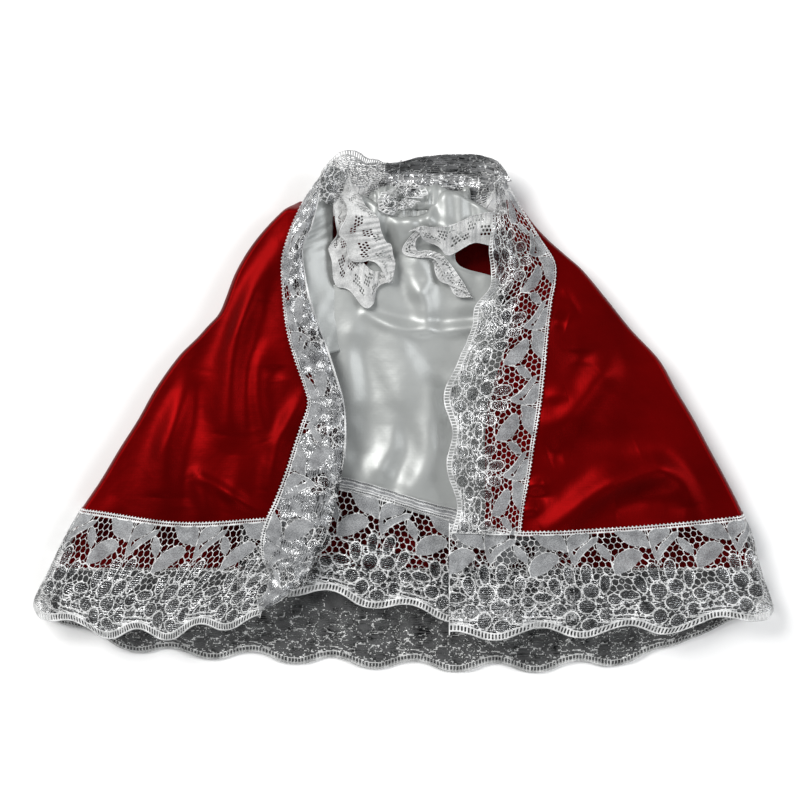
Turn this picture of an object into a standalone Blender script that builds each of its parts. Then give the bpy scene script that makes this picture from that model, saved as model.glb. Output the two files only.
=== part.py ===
"""Lace-trimmed satin cape laid over a sleeveless satin tunic, for a figure about 0.3 m tall.

The set lies flat on its back: X runs across it, +Y points to the neck, Z points up from
the surface it lies on. Origin: centre of the outline, on that surface. Units: metres.

Layers, from the surface up: cape back, tunic back, the tunic's hollow, tunic front,
armhole ruffles, cape fronts, edge lace. The cape wraps round at both sides, and each
front opens about the straight fold line where it leaves the side roll.
"""
import math

import bmesh
import bpy
from mathutils import Vector

MM = 0.001

# ---- driving dimensions, in millimetres ------------------------------------------------
CLOTH = 0.8                 # thickness given to each layer of cloth or lace
CAPE_BACK_Z = 0.5           # middle of the cape back's cloth (1.0 thick, lies on the floor)
CAPE_BACK_THICK = 1.0
FRONT_Z = 15.4              # middle of the cape fronts' cloth at their fold lines
ROLL_HALF = (FRONT_Z - CAPE_BACK_Z) / 2.0   # half height of the side roll
LACE_LIFT = 2.1             # edge lace above the cloth it is sewn to
FOLD_LINE_Z = 18.2          # the fronts turn about lines just above the edge lace
SEAM_GAP = 0.35             # clearance between pieces that are sewn edge to edge

TUNIC_BACK_Z = 2.9
TUNIC_FRONT_Z = 9.9
NECK_X = 9.0                # centre of the tunic's neck
NECK_HALF_WIDTH = 26.0
NECK_HALF_HEIGHT = 5.2
NECK_MID_Z = 7.8
NECK_Y0, NECK_Y1 = 100.2, 106.4
NECK_FRILL_TOP = 122.5

FRONT_OPEN_DEG = 160.0      # how far a front turns back

# Outline of the cape as it lies, half-width against height: (y, x)
LEFT_OUTLINE = [(-113.0, -188.0), (-103.5, -190.6), (-97.2, -191.2), (-81.6, -183.6),
                (-66.0, -176.3), (-50.4, -167.4), (-34.8, -157.0), (-19.2, -147.7),
                (-3.6, -137.8), (12.0, -130.0), (27.6, -118.6), (43.2, -108.7),
                (51.0, -99.3), (58.8, -93.6), (74.4, -86.3), (90.0, -76.4),
                (105.6, -61.9), (110.8, -53.6)]
RIGHT_OUTLINE = [(-113.0, 188.0), (-103.5, 191.8), (-97.2, 190.9), (-81.6, 185.6),
                 (-66.0, 182.0), (-50.4, 175.8), (-34.8, 168.0), (-19.2, 159.6),
                 (-3.6, 151.3), (12.0, 142.0), (27.6, 133.1), (43.2, 118.6),
                 (58.8, 106.1), (74.4, 93.1), (82.2, 84.2), (90.0, 75.4),
                 (97.8, 68.1), (112.3, 57.6)]

# The two fold lines the fronts open about, straight, in plan
LEFT_AXIS = ((-47.3, 116.0), (-183.6, -97.2))
RIGHT_AXIS = ((183.0, -97.2), (50.0, 123.8))

# Front edges of the satin, hem ends last: (y, x)
LEFT_EDGE = [(-56.0, -42.0), (-40.0, -40.6), (-14.0, -35.4), (6.8, -38.0), (32.8, -44.2),
             (58.8, -51.5), (84.8, -54.0), (104.0, -51.6)]
RIGHT_EDGE = [(-60.0, 44.2), (-34.8, 44.2), (-14.0, 44.2), (6.8, 46.3), (32.8, 54.6),
              (58.8, 59.8), (79.6, 59.8), (103.0, 56.0)]

# Hem lines of the fronts where satin meets lace: (x, y)
HEM_LINE = [(-190.0, -50.0), (-168.0, -51.5), (-116.0, -57.7), (-72.0, -55.6), (-40.0, -53.5),
            (44.0, -60.0), (62.0, -62.4), (128.0, -59.3), (178.0, -54.6), (192.0, -52.0)]
BACK_HEM_Y = -83.0
LACE_WIDTH = 55.0
SCALLOP = 41.0              # one repeat of the lace's scalloped edge
SCALLOP_DEEP = 4.5

# Folds standing up in the fronts: ridge ends (x, y), (x, y), height, half width
FRONT_FOLDS = [
    ((-93.0, 62.0), (-93.0, -8.0), 7.0, 13.0),
    ((-112.0, -10.0), (-140.0, -48.0), 5.0, 12.0),
    ((-62.0, 40.0), (-66.0, -48.0), 4.5, 11.0),
    ((82.0, 42.0), (98.0, 20.0), 5.0, 14.0),
    ((72.0, -52.0), (102.0, -24.0), 9.0, 14.0),
    ((102.0, -24.0), (146.0, -22.0), 10.5, 14.0),
    ((146.0, -22.0), (164.0, -44.0), 7.0, 12.0),
]

CAPE_LACE_LEFT_OUT = [(112.0, -53.0), (100.0, -55.5), (76.0, -62.4), (43.0, -58.8),
                      (22.0, -53.5), (9.4, -49.4), (-8.8, -53.6), (-29.6, -60.3),
                      (-45.0, -66.5), (-60.0, -73.0), (-84.0, -76.0), (-98.0, -62.0)]
CAPE_LACE_LEFT_IN = [(116.5, -45.5), (104.0, -48.0), (90.0, -52.0), (58.8, -48.4),
                     (32.8, -38.0), (6.8, -30.2), (-14.0, -27.6), (-40.0, -32.8),
                     (-58.0, -36.0), (-74.0, -36.5), (-90.0, -40.0), (-98.5, -45.0)]
CAPE_LACE_RIGHT_IN = [(114.0, 54.0), (105.0, 50.0), (79.6, 45.2), (58.8, 44.2),
                      (48.0, 36.0), (32.8, 34.0), (6.8, 22.0), (-14.0, 20.8),
                      (-34.8, 24.4), (-60.0, 25.0), (-96.0, 24.4), (-122.0, 30.0)]
CAPE_LACE_RIGHT_OUT = [(108.0, 60.0), (100.0, 62.5), (82.2, 73.0), (69.0, 78.0),
                       (53.6, 76.4), (32.8, 74.9), (-3.6, 70.2), (-24.4, 66.0),
                       (-50.4, 61.9), (-62.4, 60.8), (-92.0, 62.0), (-114.0, 64.0)]

RED_SATIN = (0.36, 0.004, 0.006)
WHITE_SATIN = (0.62, 0.65, 0.64)
SILVER_LACE = (0.52, 0.53, 0.53)
WHITE_TAPE = (0.7, 0.7, 0.68)
ELASTIC = (0.75, 0.75, 0.73)


# ---- geometry helpers -------------------------------------------------------------------
def clear_scene():
    for ob in list(bpy.data.objects):
        bpy.data.objects.remove(ob, do_unlink=True)


def smooth(t):
    t = max(0.0, min(1.0, t))
    return t * t * (3.0 - 2.0 * t)


def table(points, key):
    """Reads a smooth curve through (key, value) rows, Catmull-Rom between rows."""
    pts = sorted(points)
    if key <= pts[0][0]:
        return pts[0][1]
    if key >= pts[-1][0]:
        return pts[-1][1]
    for i in range(len(pts) - 1):
        k0, v0 = pts[i]
        k1, v1 = pts[i + 1]
        if key <= k1:
            break
    span = k1 - k0
    t = (key - k0) / span
    before = pts[i - 1] if i else pts[i]
    after = pts[i + 2] if i + 2 < len(pts) else pts[i + 1]
    m0 = (v1 - before[1]) / max(k1 - before[0], 1e-9) * span
    m1 = (after[1] - v0) / max(after[0] - k0, 1e-9) * span
    t2, t3 = t * t, t * t * t
    return ((2 * t3 - 3 * t2 + 1) * v0 + (t3 - 2 * t2 + t) * m0
            + (-2 * t3 + 3 * t2) * v1 + (t3 - t2) * m1)


def run(points, t):
    """A point at share t along an open row of points, Catmull-Rom, equal shares per row."""
    n = len(points) - 1
    i = min(n - 1, int(t * n))
    f = t * n - i
    p0 = Vector(points[max(0, i - 1)])
    p1 = Vector(points[i])
    p2 = Vector(points[i + 1])
    p3 = Vector(points[min(n, i + 2)])
    return 0.5 * ((2 * p1) + (p2 - p0) * f + (2 * p0 - 5 * p1 + 4 * p2 - p3) * f * f
                  + (3 * p1 - p0 - 3 * p2 + p3) * f * f * f)


def axis_x(axis, y):
    (x0, y0), (x1, y1) = axis
    return x0 + (x1 - x0) * (y - y0) / (y1 - y0)


def beyond(axis, x, y, inward):
    """How far a point lies inward of a fold line, in plan."""
    (x0, y0), (x1, y1) = axis
    dx, dy = x1 - x0, y1 - y0
    side = (dx * (y - y0) - dy * (x - x0)) / math.hypot(dx, dy)
    return side * inward


def near_segment(x, y, a, b):
    ax, ay = a
    bx, by = b
    dx, dy = bx - ax, by - ay
    t = ((x - ax) * dx + (y - ay) * dy) / (dx * dx + dy * dy)
    t = max(0.0, min(1.0, t))
    return math.hypot(x - ax - t * dx, y - ay - t * dy)


def front_lift(x, y):
    """Height of the folds above the fronts' base, none near the fold lines."""
    high = 0.0
    for a, b, tall, wide in FRONT_FOLDS:
        d = near_segment(x, y, a, b)
        high = max(high, tall * math.exp(-(d / wide) ** 2))
    inward = min(beyond(LEFT_AXIS, x, y, 1.0), beyond(RIGHT_AXIS, x, y, 1.0))
    return high * smooth((inward - 4.0) / 26.0)


def cloth_solid(name, grid, colour, thick=CLOTH, metallic=0.0, rough=0.5, holder=None):
    """Closed solid of the given thickness about a grid of middle points, in millimetres."""
    rows, cols = len(grid), len(grid[0])
    home = holder.location if holder else Vector((0, 0, 0))
    top, low = [], []
    for i in range(rows):
        for j in range(cols):
            du = grid[min(rows - 1, i + 1)][j] - grid[max(0, i - 1)][j]
            dv = grid[i][min(cols - 1, j + 1)] - grid[i][max(0, j - 1)]
            n = du.cross(dv).normalized() * thick / 2.0
            top.append((grid[i][j] + n) * MM - home)
            low.append((grid[i][j] - n) * MM - home)
    bm = bmesh.new()
    vt = [bm.verts.new(p) for p in top]
    vl = [bm.verts.new(p) for p in low]

    def at(i, j):
        return i * cols + j

    for i in range(rows - 1):
        for j in range(cols - 1):
            a, b, c, d = at(i, j), at(i + 1, j), at(i + 1, j + 1), at(i, j + 1)
            bm.faces.new((vt[a], vt[b], vt[c], vt[d]))
            bm.faces.new((vl[d], vl[c], vl[b], vl[a]))
    rim = ([at(0, j) for j in range(cols)] + [at(i, cols - 1) for i in range(1, rows)]
           + [at(rows - 1, j) for j in range(cols - 2, -1, -1)]
           + [at(i, 0) for i in range(rows - 2, 0, -1)])
    for k, a in enumerate(rim):
        b = rim[(k + 1) % len(rim)]
        bm.faces.new((vt[a], vt[b], vl[b], vl[a]))
    bmesh.ops.recalc_face_normals(bm, faces=bm.faces)
    return finish_mesh(name, bm, colour, metallic, rough, holder)


def finish_mesh(name, bm, colour, metallic, rough, holder=None):
    mesh = bpy.data.meshes.new(name)
    bm.to_mesh(mesh)
    bm.free()
    ob = bpy.data.objects.new(name, mesh)
    bpy.context.collection.objects.link(ob)
    mesh.shade_smooth()
    mesh.set_sharp_from_angle(angle=math.radians(40))
    mat = bpy.data.materials.new(name + "_finish")
    mat.use_nodes = True
    shader = mat.node_tree.nodes["Principled BSDF"]
    shader.inputs["Base Color"].default_value = (*colour, 1.0)
    shader.inputs["Metallic"].default_value = metallic
    shader.inputs["Roughness"].default_value = rough
    mesh.materials.append(mat)
    if holder:
        ob.parent = holder
    return ob


def pivot(name, axis, z):
    (x0, y0), (x1, y1) = axis
    empty = bpy.data.objects.new(name, None)
    bpy.context.collection.objects.link(empty)
    empty.location = Vector(((x0 + x1) / 2 * MM, (y0 + y1) / 2 * MM, z * MM))
    empty.empty_display_size = 0.02
    return empty


def spread(n, lo=0.0, hi=1.0):
    return [lo + (hi - lo) * k / (n - 1) for k in range(n)]


# ---- the cape's back, rolled round at both sides -----------------------------------------
def cape_section(a, y):
    """Point of the back cloth at share a round the section at height y."""
    left, right = table(LEFT_OUTLINE, y), table(RIGHT_OUTLINE, y)
    fold_l, fold_r = axis_x(LEFT_AXIS, y), axis_x(RIGHT_AXIS, y)
    el = min(ROLL_HALF, 0.8 * (fold_l - left))
    er = min(ROLL_HALF, 0.8 * (right - fold_r))
    mid = CAPE_BACK_Z + ROLL_HALF
    if a <= 0.08:
        t = a / 0.08
        return Vector((fold_l - SEAM_GAP + (left + el - fold_l + SEAM_GAP) * t, y, FRONT_Z))
    if a <= 0.30:
        ang = math.pi * (0.5 + (a - 0.08) / 0.22)
        return Vector((left + el + el * math.cos(ang), y, mid + ROLL_HALF * math.sin(ang)))
    if a <= 0.70:
        t = (a - 0.30) / 0.40
        return Vector((left + el + (right - er - left - el) * t, y, CAPE_BACK_Z))
    if a <= 0.92:
        ang = math.pi * (1.5 + (a - 0.70) / 0.22)
        return Vector((right - er + er * math.cos(ang), y, mid + ROLL_HALF * math.sin(ang)))
    t = (a - 0.92) / 0.08
    return Vector((right - er + (fold_r + SEAM_GAP - right + er) * t, y, FRONT_Z))


def section_shares():
    return ([0.0, 0.08] + spread(7, 0.08, 0.30)[1:] + spread(9, 0.30, 0.70)[1:]
            + spread(7, 0.70, 0.92)[1:] + [1.0])


def fringe_y(a, top_l, top_r, low):
    """Height of a hem that is higher on the returns than across the back."""
    if a < 0.5:
        return top_l + (low - top_l) * smooth((a - 0.10) / 0.20)
    return top_r + (low - top_r) * smooth((0.90 - a) / 0.20)


def back_hem(a):
    return fringe_y(a, -51.8, -54.8, BACK_HEM_Y)


def back_lace_end(a):
    x = cape_section(a, -100.0).x
    wave = SCALLOP_DEEP * 0.5 * math.cos(2 * math.pi * x / SCALLOP)
    base = fringe_y(a, -103.0, -103.5, -134.0 + 0.0)
    reach = smooth((0.5 - abs(a - 0.5)) / 0.18)
    return base - reach * wave


def lace_section(a, y):
    """The back hem lace stays at its corner width where it drops below the fronts."""
    p = cape_section(a, max(y, -100.0))
    narrow = 0.0016 * max(0.0, -100.0 - y) * smooth((0.42 - abs(a - 0.5)) / 0.1)
    return Vector((p.x * (1.0 - narrow), y, p.z))


def build_cape_back():
    shares = section_shares()
    grid = []
    for v in spread(14):
        row = []
        for a in shares:
            neck = 98.5 + 6.0 * smooth((abs(a - 0.5) - 0.1) / 0.2)
            y = neck + (back_hem(a) - neck) * v
            row.append(cape_section(a, y))
        grid.append(row)
    cloth_solid("cape_back_panel", grid, RED_SATIN, CAPE_BACK_THICK, 0.0, 0.32)

    shares = ([0.0, 0.08] + spread(7, 0.08, 0.30)[1:] + spread(25, 0.30, 0.70)[1:]
              + spread(7, 0.70, 0.92)[1:] + [1.0])
    grid = []
    for v in spread(4):
        row = []
        for a in shares:
            top = back_hem(a) - 2.5 * SEAM_GAP
            row.append(lace_section(a, top + (back_lace_end(a) - top) * v))
        grid.append(row)
    cloth_solid("cape_back_hem_lace", grid, SILVER_LACE, CAPE_BACK_THICK, 0.35, 0.45)

    tape = [[Vector((x, y, 1.65)) for x in spread(9, -19.0, 37.0)] for y in (98.4, 102.6)]
    cloth_solid("cape_neck_tape", tape, WHITE_TAPE, 0.5, 0.0, 0.7)


COLLAR_ROWS = [
    # sewn edge, two rows between, free edge: (x, y, z)
    [(-43.2, 109.5, 17.2), (-40.5, 108.5, 17.2), (-37.0, 107.5, 16.6), (-32.0, 106.5, 13.5),
     (-27.5, 105.0, 8.0), (-24.0, 104.0, 3.2), (-15.0, 104.0, 1.75), (0.0, 104.0, 1.75),
     (18.0, 104.0, 1.75), (32.0, 104.0, 1.75), (40.5, 105.0, 3.2), (44.0, 107.0, 9.0),
     (46.5, 109.5, 14.5), (48.5, 112.0, 17.4)],
    [(-43.2, 115.0, 17.6), (-40.5, 115.3, 18.0), (-37.0, 115.5, 17.6), (-31.5, 116.0, 15.0),
     (-27.0, 117.0, 9.0), (-23.5, 118.0, 3.4), (-15.0, 118.0, 1.75), (0.0, 118.0, 1.75),
     (18.0, 118.0, 1.75), (32.0, 118.0, 1.75), (40.5, 117.5, 3.4), (44.5, 117.0, 9.5),
     (48.0, 116.5, 15.5), (50.5, 116.0, 17.6)],
    [(-43.0, 120.0, 17.8), (-39.0, 122.5, 18.8), (-34.5, 124.0, 19.0), (-29.0, 126.0, 17.0),
     (-24.0, 127.0, 12.0), (-19.0, 127.0, 7.0), (-12.0, 127.5, 2.6), (0.0, 127.5, 2.2),
     (18.0, 127.5, 2.2), (32.0, 127.2, 2.6), (41.0, 126.0, 5.5), (46.5, 123.5, 12.0),
     (50.5, 121.0, 16.5), (52.5, 118.5, 17.8)],
    [(-42.0, 125.0, 18.0), (-37.0, 130.5, 19.5), (-30.0, 134.3, 21.0), (-22.4, 136.4, 21.0),
     (-15.5, 133.5, 17.0), (-9.4, 130.0, 12.0), (-1.6, 130.5, 9.5), (8.8, 133.0, 10.5),
     (24.4, 134.0, 12.5), (38.0, 133.6, 14.0), (47.5, 131.0, 16.0), (51.5, 127.0, 17.5),
     (54.0, 123.0, 18.0), (56.0, 119.5, 18.0)],
]


def build_collar():
    across = spread(27)
    grid = [[run(row, t) for t in across] for row in COLLAR_ROWS]
    fine = []
    for v in spread(7):
        fine.append([run([grid[k][j] for k in range(4)], v) for j in range(len(across))])
    cloth_solid("cape_collar_lace", fine, SILVER_LACE, CLOTH, 0.35, 0.45)


# ---- the cape's fronts --------------------------------------------------------------------
def build_front(side, axis, edge, outline, holder):
    left = side == "left"
    sign = 1.0 if left else -1.0
    name = "cape_%s_" % side

    def across(y, t):
        outer = axis_x(axis, y) + sign * SEAM_GAP
        inner = table(edge, y)
        return outer + (inner - outer) * t

    top = 103.5 if left else 101.5
    panel = []
    for v in spread(18):
        row = []
        for t in spread(11):
            x_hem = across(-54.0, t)
            low = table(HEM_LINE, x_hem)
            y = top + (low - top) * v
            x = across(y, t)
            row.append(Vector((x, y, FRONT_Z + front_lift(x, y))))
        panel.append(row)
    cloth_solid(name + "front_panel", panel, RED_SATIN, CLOTH, 0.0, 0.32, holder)

    lace = []
    for v in spread(5):
        row = []
        for t in spread(21):
            x_hem = across(-54.0, t)
            start = table(HEM_LINE, x_hem) - SEAM_GAP
            far = axis_x(axis, -100.0) + sign * SEAM_GAP
            near = table(edge, -54.0) - sign * 1.5
            x_end = far + (near - far) * t
            wave = 0.5 * SCALLOP_DEEP * math.cos(2 * math.pi * x_end / SCALLOP)
            end = -113.0 + 9.0 * smooth((0.12 - t) / 0.12) - wave * smooth(t / 0.15)
            y = start + (end - start) * v
            x = x_hem + (x_end - x_hem) * v
            row.append(Vector((x, y, FRONT_Z + front_lift(x, y))))
        lace.append(row)
    cloth_solid(name + "hem_lace", lace, SILVER_LACE, CLOTH, 0.35, 0.45, holder)

    outer = CAPE_LACE_LEFT_OUT if left else CAPE_LACE_RIGHT_OUT
    inner = CAPE_LACE_LEFT_IN if left else CAPE_LACE_RIGHT_IN
    ribbon = []
    for v in spread(26):
        a = run([(x, y, 0.0) for y, x in outer], v)
        b = run([(x, y, 0.0) for y, x in inner], v)
        row = []
        for t in spread(7):
            p = a.lerp(b, t)
            row.append(Vector((p.x, p.y, FRONT_Z + LACE_LIFT + front_lift(p.x, p.y))))
        ribbon.append(row)
    cloth_solid(name + "edge_lace", ribbon, SILVER_LACE, CLOTH, 0.35, 0.45, holder)


# ---- the tunic ---------------------------------------------------------------------------
TUNIC_LEFT = [(-60.0, -88.0), (-33.0, -80.0), (0.0, -64.0), (30.0, -50.0), (58.0, -38.0),
              (70.0, -31.0), (85.0, -26.0), (99.8, -21.0)]
TUNIC_RIGHT = [(-60.0, 92.0), (-33.0, 84.0), (0.0, 68.0), (30.0, 55.0), (58.0, 48.0),
               (70.0, 43.0), (85.0, 41.0), (99.8, 38.0)]
TUNIC_HEM = [(-88.0, -32.0), (-30.0, -35.0), (24.0, -55.6), (60.0, -58.0), (92.0, -56.0)]
TUNIC_LACE_END = [(-95.0, -86.0), (-55.6, -91.0), (-30.0, -94.0), (0.0, -99.0), (25.0, -107.0),
                  (60.0, -111.0), (97.0, -108.0)]
TUNIC_FOLDS = [((2.0, 74.0), (10.0, 42.0), 2.0, 5.0), ((-10.0, 49.0), (36.0, 41.0), 1.6, 4.0),
               ((10.0, -5.0), (18.0, -40.0), 2.0, 8.0)]


def tunic_lift(x, y):
    high = 0.0
    for a, b, tall, wide in TUNIC_FOLDS:
        high = max(high, tall * math.exp(-(near_segment(x, y, a, b) / wide) ** 2))
    return high


def tunic_x(t, y):
    return table(TUNIC_LEFT, y) + (table(TUNIC_RIGHT, y) - table(TUNIC_LEFT, y)) * t


def tunic_z(t, y, front):
    """Level of a layer, turned towards the side seam below the armholes."""
    closed = smooth((62.0 - y) / 14.0)
    rim = min(t, 1.0 - t)
    drop = max(0.0, 1.0 - rim / 0.06)
    drop = 1.0 - math.sqrt(max(0.0, 1.0 - drop * drop))
    seam = (TUNIC_FRONT_Z + TUNIC_BACK_Z) / 2.0
    if front:
        return TUNIC_FRONT_Z - closed * drop * (TUNIC_FRONT_Z - seam - SEAM_GAP / 2 - 0.15)
    return TUNIC_BACK_Z + closed * drop * (seam - SEAM_GAP / 2 - 0.15 - TUNIC_BACK_Z)


def build_tunic():
    ts = [0.0, 0.012, 0.03, 0.06] + spread(11, 0.06, 0.94)[1:] + [0.97, 0.988, 1.0]
    for front in (True, False):
        word = "front" if front else "back"
        body, lace = [], []
        for v in spread(18):
            row = []
            for t in ts:
                low = table(TUNIC_HEM, tunic_x(t, -45.0))
                y = 99.8 + (low - 99.8) * v
                x = tunic_x(t, y)
                z = tunic_z(t, y, front)
                if front:
                    z += tunic_lift(x, y) * smooth(min(t, 1.0 - t) / 0.15)
                row.append(Vector((x, y, z)))
            body.append(row)
        cloth_solid("tunic_" + word, body, WHITE_SATIN, CLOTH, 0.0, 0.35)
        for v in spread(4):
            row = []
            for t in ts:
                x0 = tunic_x(t, -45.0)
                start = table(TUNIC_HEM, x0) - SEAM_GAP
                end = table(TUNIC_LACE_END, x0) + 1.8 * math.cos(2 * math.pi * x0 / SCALLOP)
                y = start + (end - start) * v
                row.append(Vector((x0 * (1.0 + 0.05 * v), y, tunic_z(t, y, front))))
            lace.append(row)
        cloth_solid("tunic_%s_hem_lace" % word, lace, SILVER_LACE, CLOTH, 0.35, 0.45)


def neck_ring(share, out, y):
    """Point on the flattened neck opening, offset outwards by out."""
    straight = 2.0 * (NECK_HALF_WIDTH - NECK_HALF_HEIGHT)
    r = NECK_HALF_HEIGHT
    total = 2.0 * straight + 2.0 * math.pi * r
    s = (share % 1.0) * total
    h = straight / 2.0
    if s < straight:
        x, z, nx, nz = -h + s, r, 0.0, 1.0
    elif s < straight + math.pi * r:
        ang = math.pi / 2 - (s - straight) / r
        nx, nz = math.cos(ang), math.sin(ang)
        x, z = h + r * nx, r * nz
    elif s < 2 * straight + math.pi * r:
        x, z, nx, nz = h - (s - straight - math.pi * r), -r, 0.0, -1.0
    else:
        ang = -math.pi / 2 - (s - 2 * straight - math.pi * r) / r
        nx, nz = math.cos(ang), math.sin(ang)
        x, z = -h + r * nx, r * nz
    return Vector((NECK_X + x + nx * out, y, NECK_MID_Z + z + nz * out))


def neck_solid(name, profile, count, colour, metallic, rough):
    """Sweeps a closed profile of (out, y) round the neck; profile may depend on share."""
    bm = bmesh.new()
    rings = []
    for k in range(count):
        share = k / count
        rings.append([bm.verts.new(neck_ring(share, o, y) * MM) for o, y in profile(share)])
    m = len(rings[0])
    for k in range(count):
        a, b = rings[k], rings[(k + 1) % count]
        for i in range(m):
            j = (i + 1) % m
            bm.faces.new((a[i], a[j], b[j], b[i]))
    bmesh.ops.recalc_face_normals(bm, faces=bm.faces)
    return finish_mesh(name, bm, colour, metallic, rough)


def build_neck():
    def casing(share):
        # two walls of folded cloth closed at the top, open below, where the elastic runs
        return [(0.0, NECK_Y0), (0.0, NECK_Y1), (-2.3, NECK_Y1), (-2.3, NECK_Y0),
                (-1.8, NECK_Y0), (-1.8, NECK_Y1 - 0.6), (-0.5, NECK_Y1 - 0.6), (-0.5, NECK_Y0)]

    def elastic(share):
        return [(-0.85, NECK_Y0 + 0.6), (-0.85, NECK_Y1 - 0.95),
                (-1.45, NECK_Y1 - 0.95), (-1.45, NECK_Y0 + 0.6)]

    def frill(share):
        wave = 1.0 * math.sin(2 * math.pi * share * 12)
        mid = NECK_Y1 + 0.35
        return [(-0.6, mid), (-0.6 + 0.5 * wave, (mid + NECK_FRILL_TOP) / 2),
                (-0.8 + wave, NECK_FRILL_TOP), (-1.6 + wave, NECK_FRILL_TOP),
                (-1.4 + 0.5 * wave, (mid + NECK_FRILL_TOP) / 2), (-1.4, mid)]

    neck_solid("tunic_neck_casing", casing, 40, WHITE_SATIN, 0.0, 0.35)
    neck_solid("tunic_neck_elastic", elastic, 40, ELASTIC, 0.0, 0.8)
    neck_solid("tunic_neck_ruffle", frill, 72, SILVER_LACE, 0.35, 0.45)


# Armhole ruffles: sewn edge and free edge, (x, y), and level of each tier
RUFFLES = {
    "tunic_left_armhole_ruffle": (
        [(-20.0, 96.0), (-25.0, 88.0), (-29.5, 78.0), (-31.5, 68.0), (-31.0, 56.0)],
        [(-9.0, 90.0), (-6.0, 82.0), (-8.5, 72.0), (-9.5, 64.0), (-18.0, 53.5)], 11.8, 5),
    "tunic_left_armhole_upper_tier": (
        [(-30.5, 101.0), (-33.0, 97.0), (-34.5, 92.0), (-34.0, 86.0), (-31.5, 78.0)],
        [(-20.0, 101.5), (-21.5, 99.0), (-19.0, 95.0), (-15.0, 90.0), (-13.5, 84.0)], 13.6, 4),
    "tunic_right_armhole_ruffle": (
        [(44.0, 95.0), (43.0, 86.0), (42.0, 78.0), (41.5, 70.0), (38.0, 60.0)],
        [(33.0, 92.0), (30.0, 85.0), (27.0, 78.0), (18.0, 76.0), (26.0, 64.0)], 11.8, 5),
    "tunic_right_armhole_upper_tier": (
        [(40.0, 97.0), (30.0, 98.0), (20.0, 96.0), (10.0, 93.0), (2.5, 90.0)],
        [(44.0, 90.0), (35.0, 88.0), (25.0, 84.0), (15.0, 81.0), (6.0, 82.0)], 13.6, 4),
}


def build_ruffles():
    for name, (sewn, free, level, waves) in RUFFLES.items():
        grid = []
        for v in spread(25):
            a = run([(x, y, 0.0) for x, y in sewn], v)
            b = run([(x, y, 0.0) for x, y in free], v)
            row = []
            for t in spread(4):
                p = a.lerp(b, t)
                p.z = level + 0.35 * t * math.sin(2 * math.pi * waves * v)
                row.append(p)
            grid.append(row)
        cloth_solid(name, grid, SILVER_LACE, 0.6, 0.35, 0.45)


def main():
    clear_scene()
    left = pivot("left_front_fold_line", LEFT_AXIS, FOLD_LINE_Z)
    right = pivot("right_front_fold_line", RIGHT_AXIS, FOLD_LINE_Z)
    build_cape_back()
    build_collar()
    build_front("left", LEFT_AXIS, LEFT_EDGE, LEFT_OUTLINE, left)
    build_front("right", RIGHT_AXIS, RIGHT_EDGE, RIGHT_OUTLINE, right)
    build_tunic()
    build_neck()
    build_ruffles()


main()
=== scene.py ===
import math

import bmesh
import bpy
import numpy as np
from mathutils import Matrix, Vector


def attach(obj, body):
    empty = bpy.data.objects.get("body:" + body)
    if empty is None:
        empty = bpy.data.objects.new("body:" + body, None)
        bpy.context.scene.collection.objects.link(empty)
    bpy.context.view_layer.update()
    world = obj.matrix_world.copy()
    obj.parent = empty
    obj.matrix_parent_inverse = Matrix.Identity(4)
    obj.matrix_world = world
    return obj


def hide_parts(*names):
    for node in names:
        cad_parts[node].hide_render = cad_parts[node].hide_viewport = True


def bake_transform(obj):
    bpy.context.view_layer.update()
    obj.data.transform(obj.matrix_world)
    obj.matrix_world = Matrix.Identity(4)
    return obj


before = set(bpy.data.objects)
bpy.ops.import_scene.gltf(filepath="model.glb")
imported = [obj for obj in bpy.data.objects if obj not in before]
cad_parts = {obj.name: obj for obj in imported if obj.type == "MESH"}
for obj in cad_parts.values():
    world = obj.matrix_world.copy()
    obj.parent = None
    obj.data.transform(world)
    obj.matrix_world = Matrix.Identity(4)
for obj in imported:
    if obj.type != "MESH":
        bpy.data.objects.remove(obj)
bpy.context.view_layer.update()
MM = 0.001

# =========================================================================================
# 1. Numbers shared with the CAD frame, in millimetres
# =========================================================================================
FRONT_Z = 15.4
FOLD_Z = 18.2
LEFT_AXIS = ((-47.3, 116.0), (-183.6, -97.2))
RIGHT_AXIS = ((183.0, -97.2), (50.0, 123.8))
REPEAT = 42.0            # one repeat of the lace
WIDE = 55.0              # width of the lace, heading to scallop


def px(points):
    """Plan points of the laid garment, from the layout's own 0.52 mm units."""
    return [((x - 403.0) * 0.52, (413.0 - y) * 0.52) for x, y in points]


# =========================================================================================
# 2. Curves and surfaces
# =========================================================================================
def catmull(points, t):
    """Rows of points (n, k) read at shares t (any shape) of equal parts per row."""
    p = np.asarray(points, float)
    n = len(p) - 1
    t = np.clip(np.asarray(t, float), 0.0, 1.0) * n
    i = np.minimum(t.astype(int), n - 1)
    f = (t - i)[..., None]
    p0, p1, p2, p3 = p[np.maximum(i - 1, 0)], p[i], p[i + 1], p[np.minimum(i + 2, n)]
    return 0.5 * (2 * p1 + (p2 - p0) * f + (2 * p0 - 5 * p1 + 4 * p2 - p3) * f * f
                  + (3 * p1 - p0 - 3 * p2 + p3) * f ** 3)


def even(points, n):
    """n points spaced evenly along the smooth curve through points."""
    fine = catmull(points, np.linspace(0, 1, 40 * len(points)))
    step = np.linalg.norm(np.diff(fine, axis=0), axis=1)
    s = np.concatenate([[0], np.cumsum(step)])
    want = np.linspace(0, s[-1], n)
    return np.stack([np.interp(want, s, fine[:, k]) for k in range(fine.shape[1])], 1)


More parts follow.
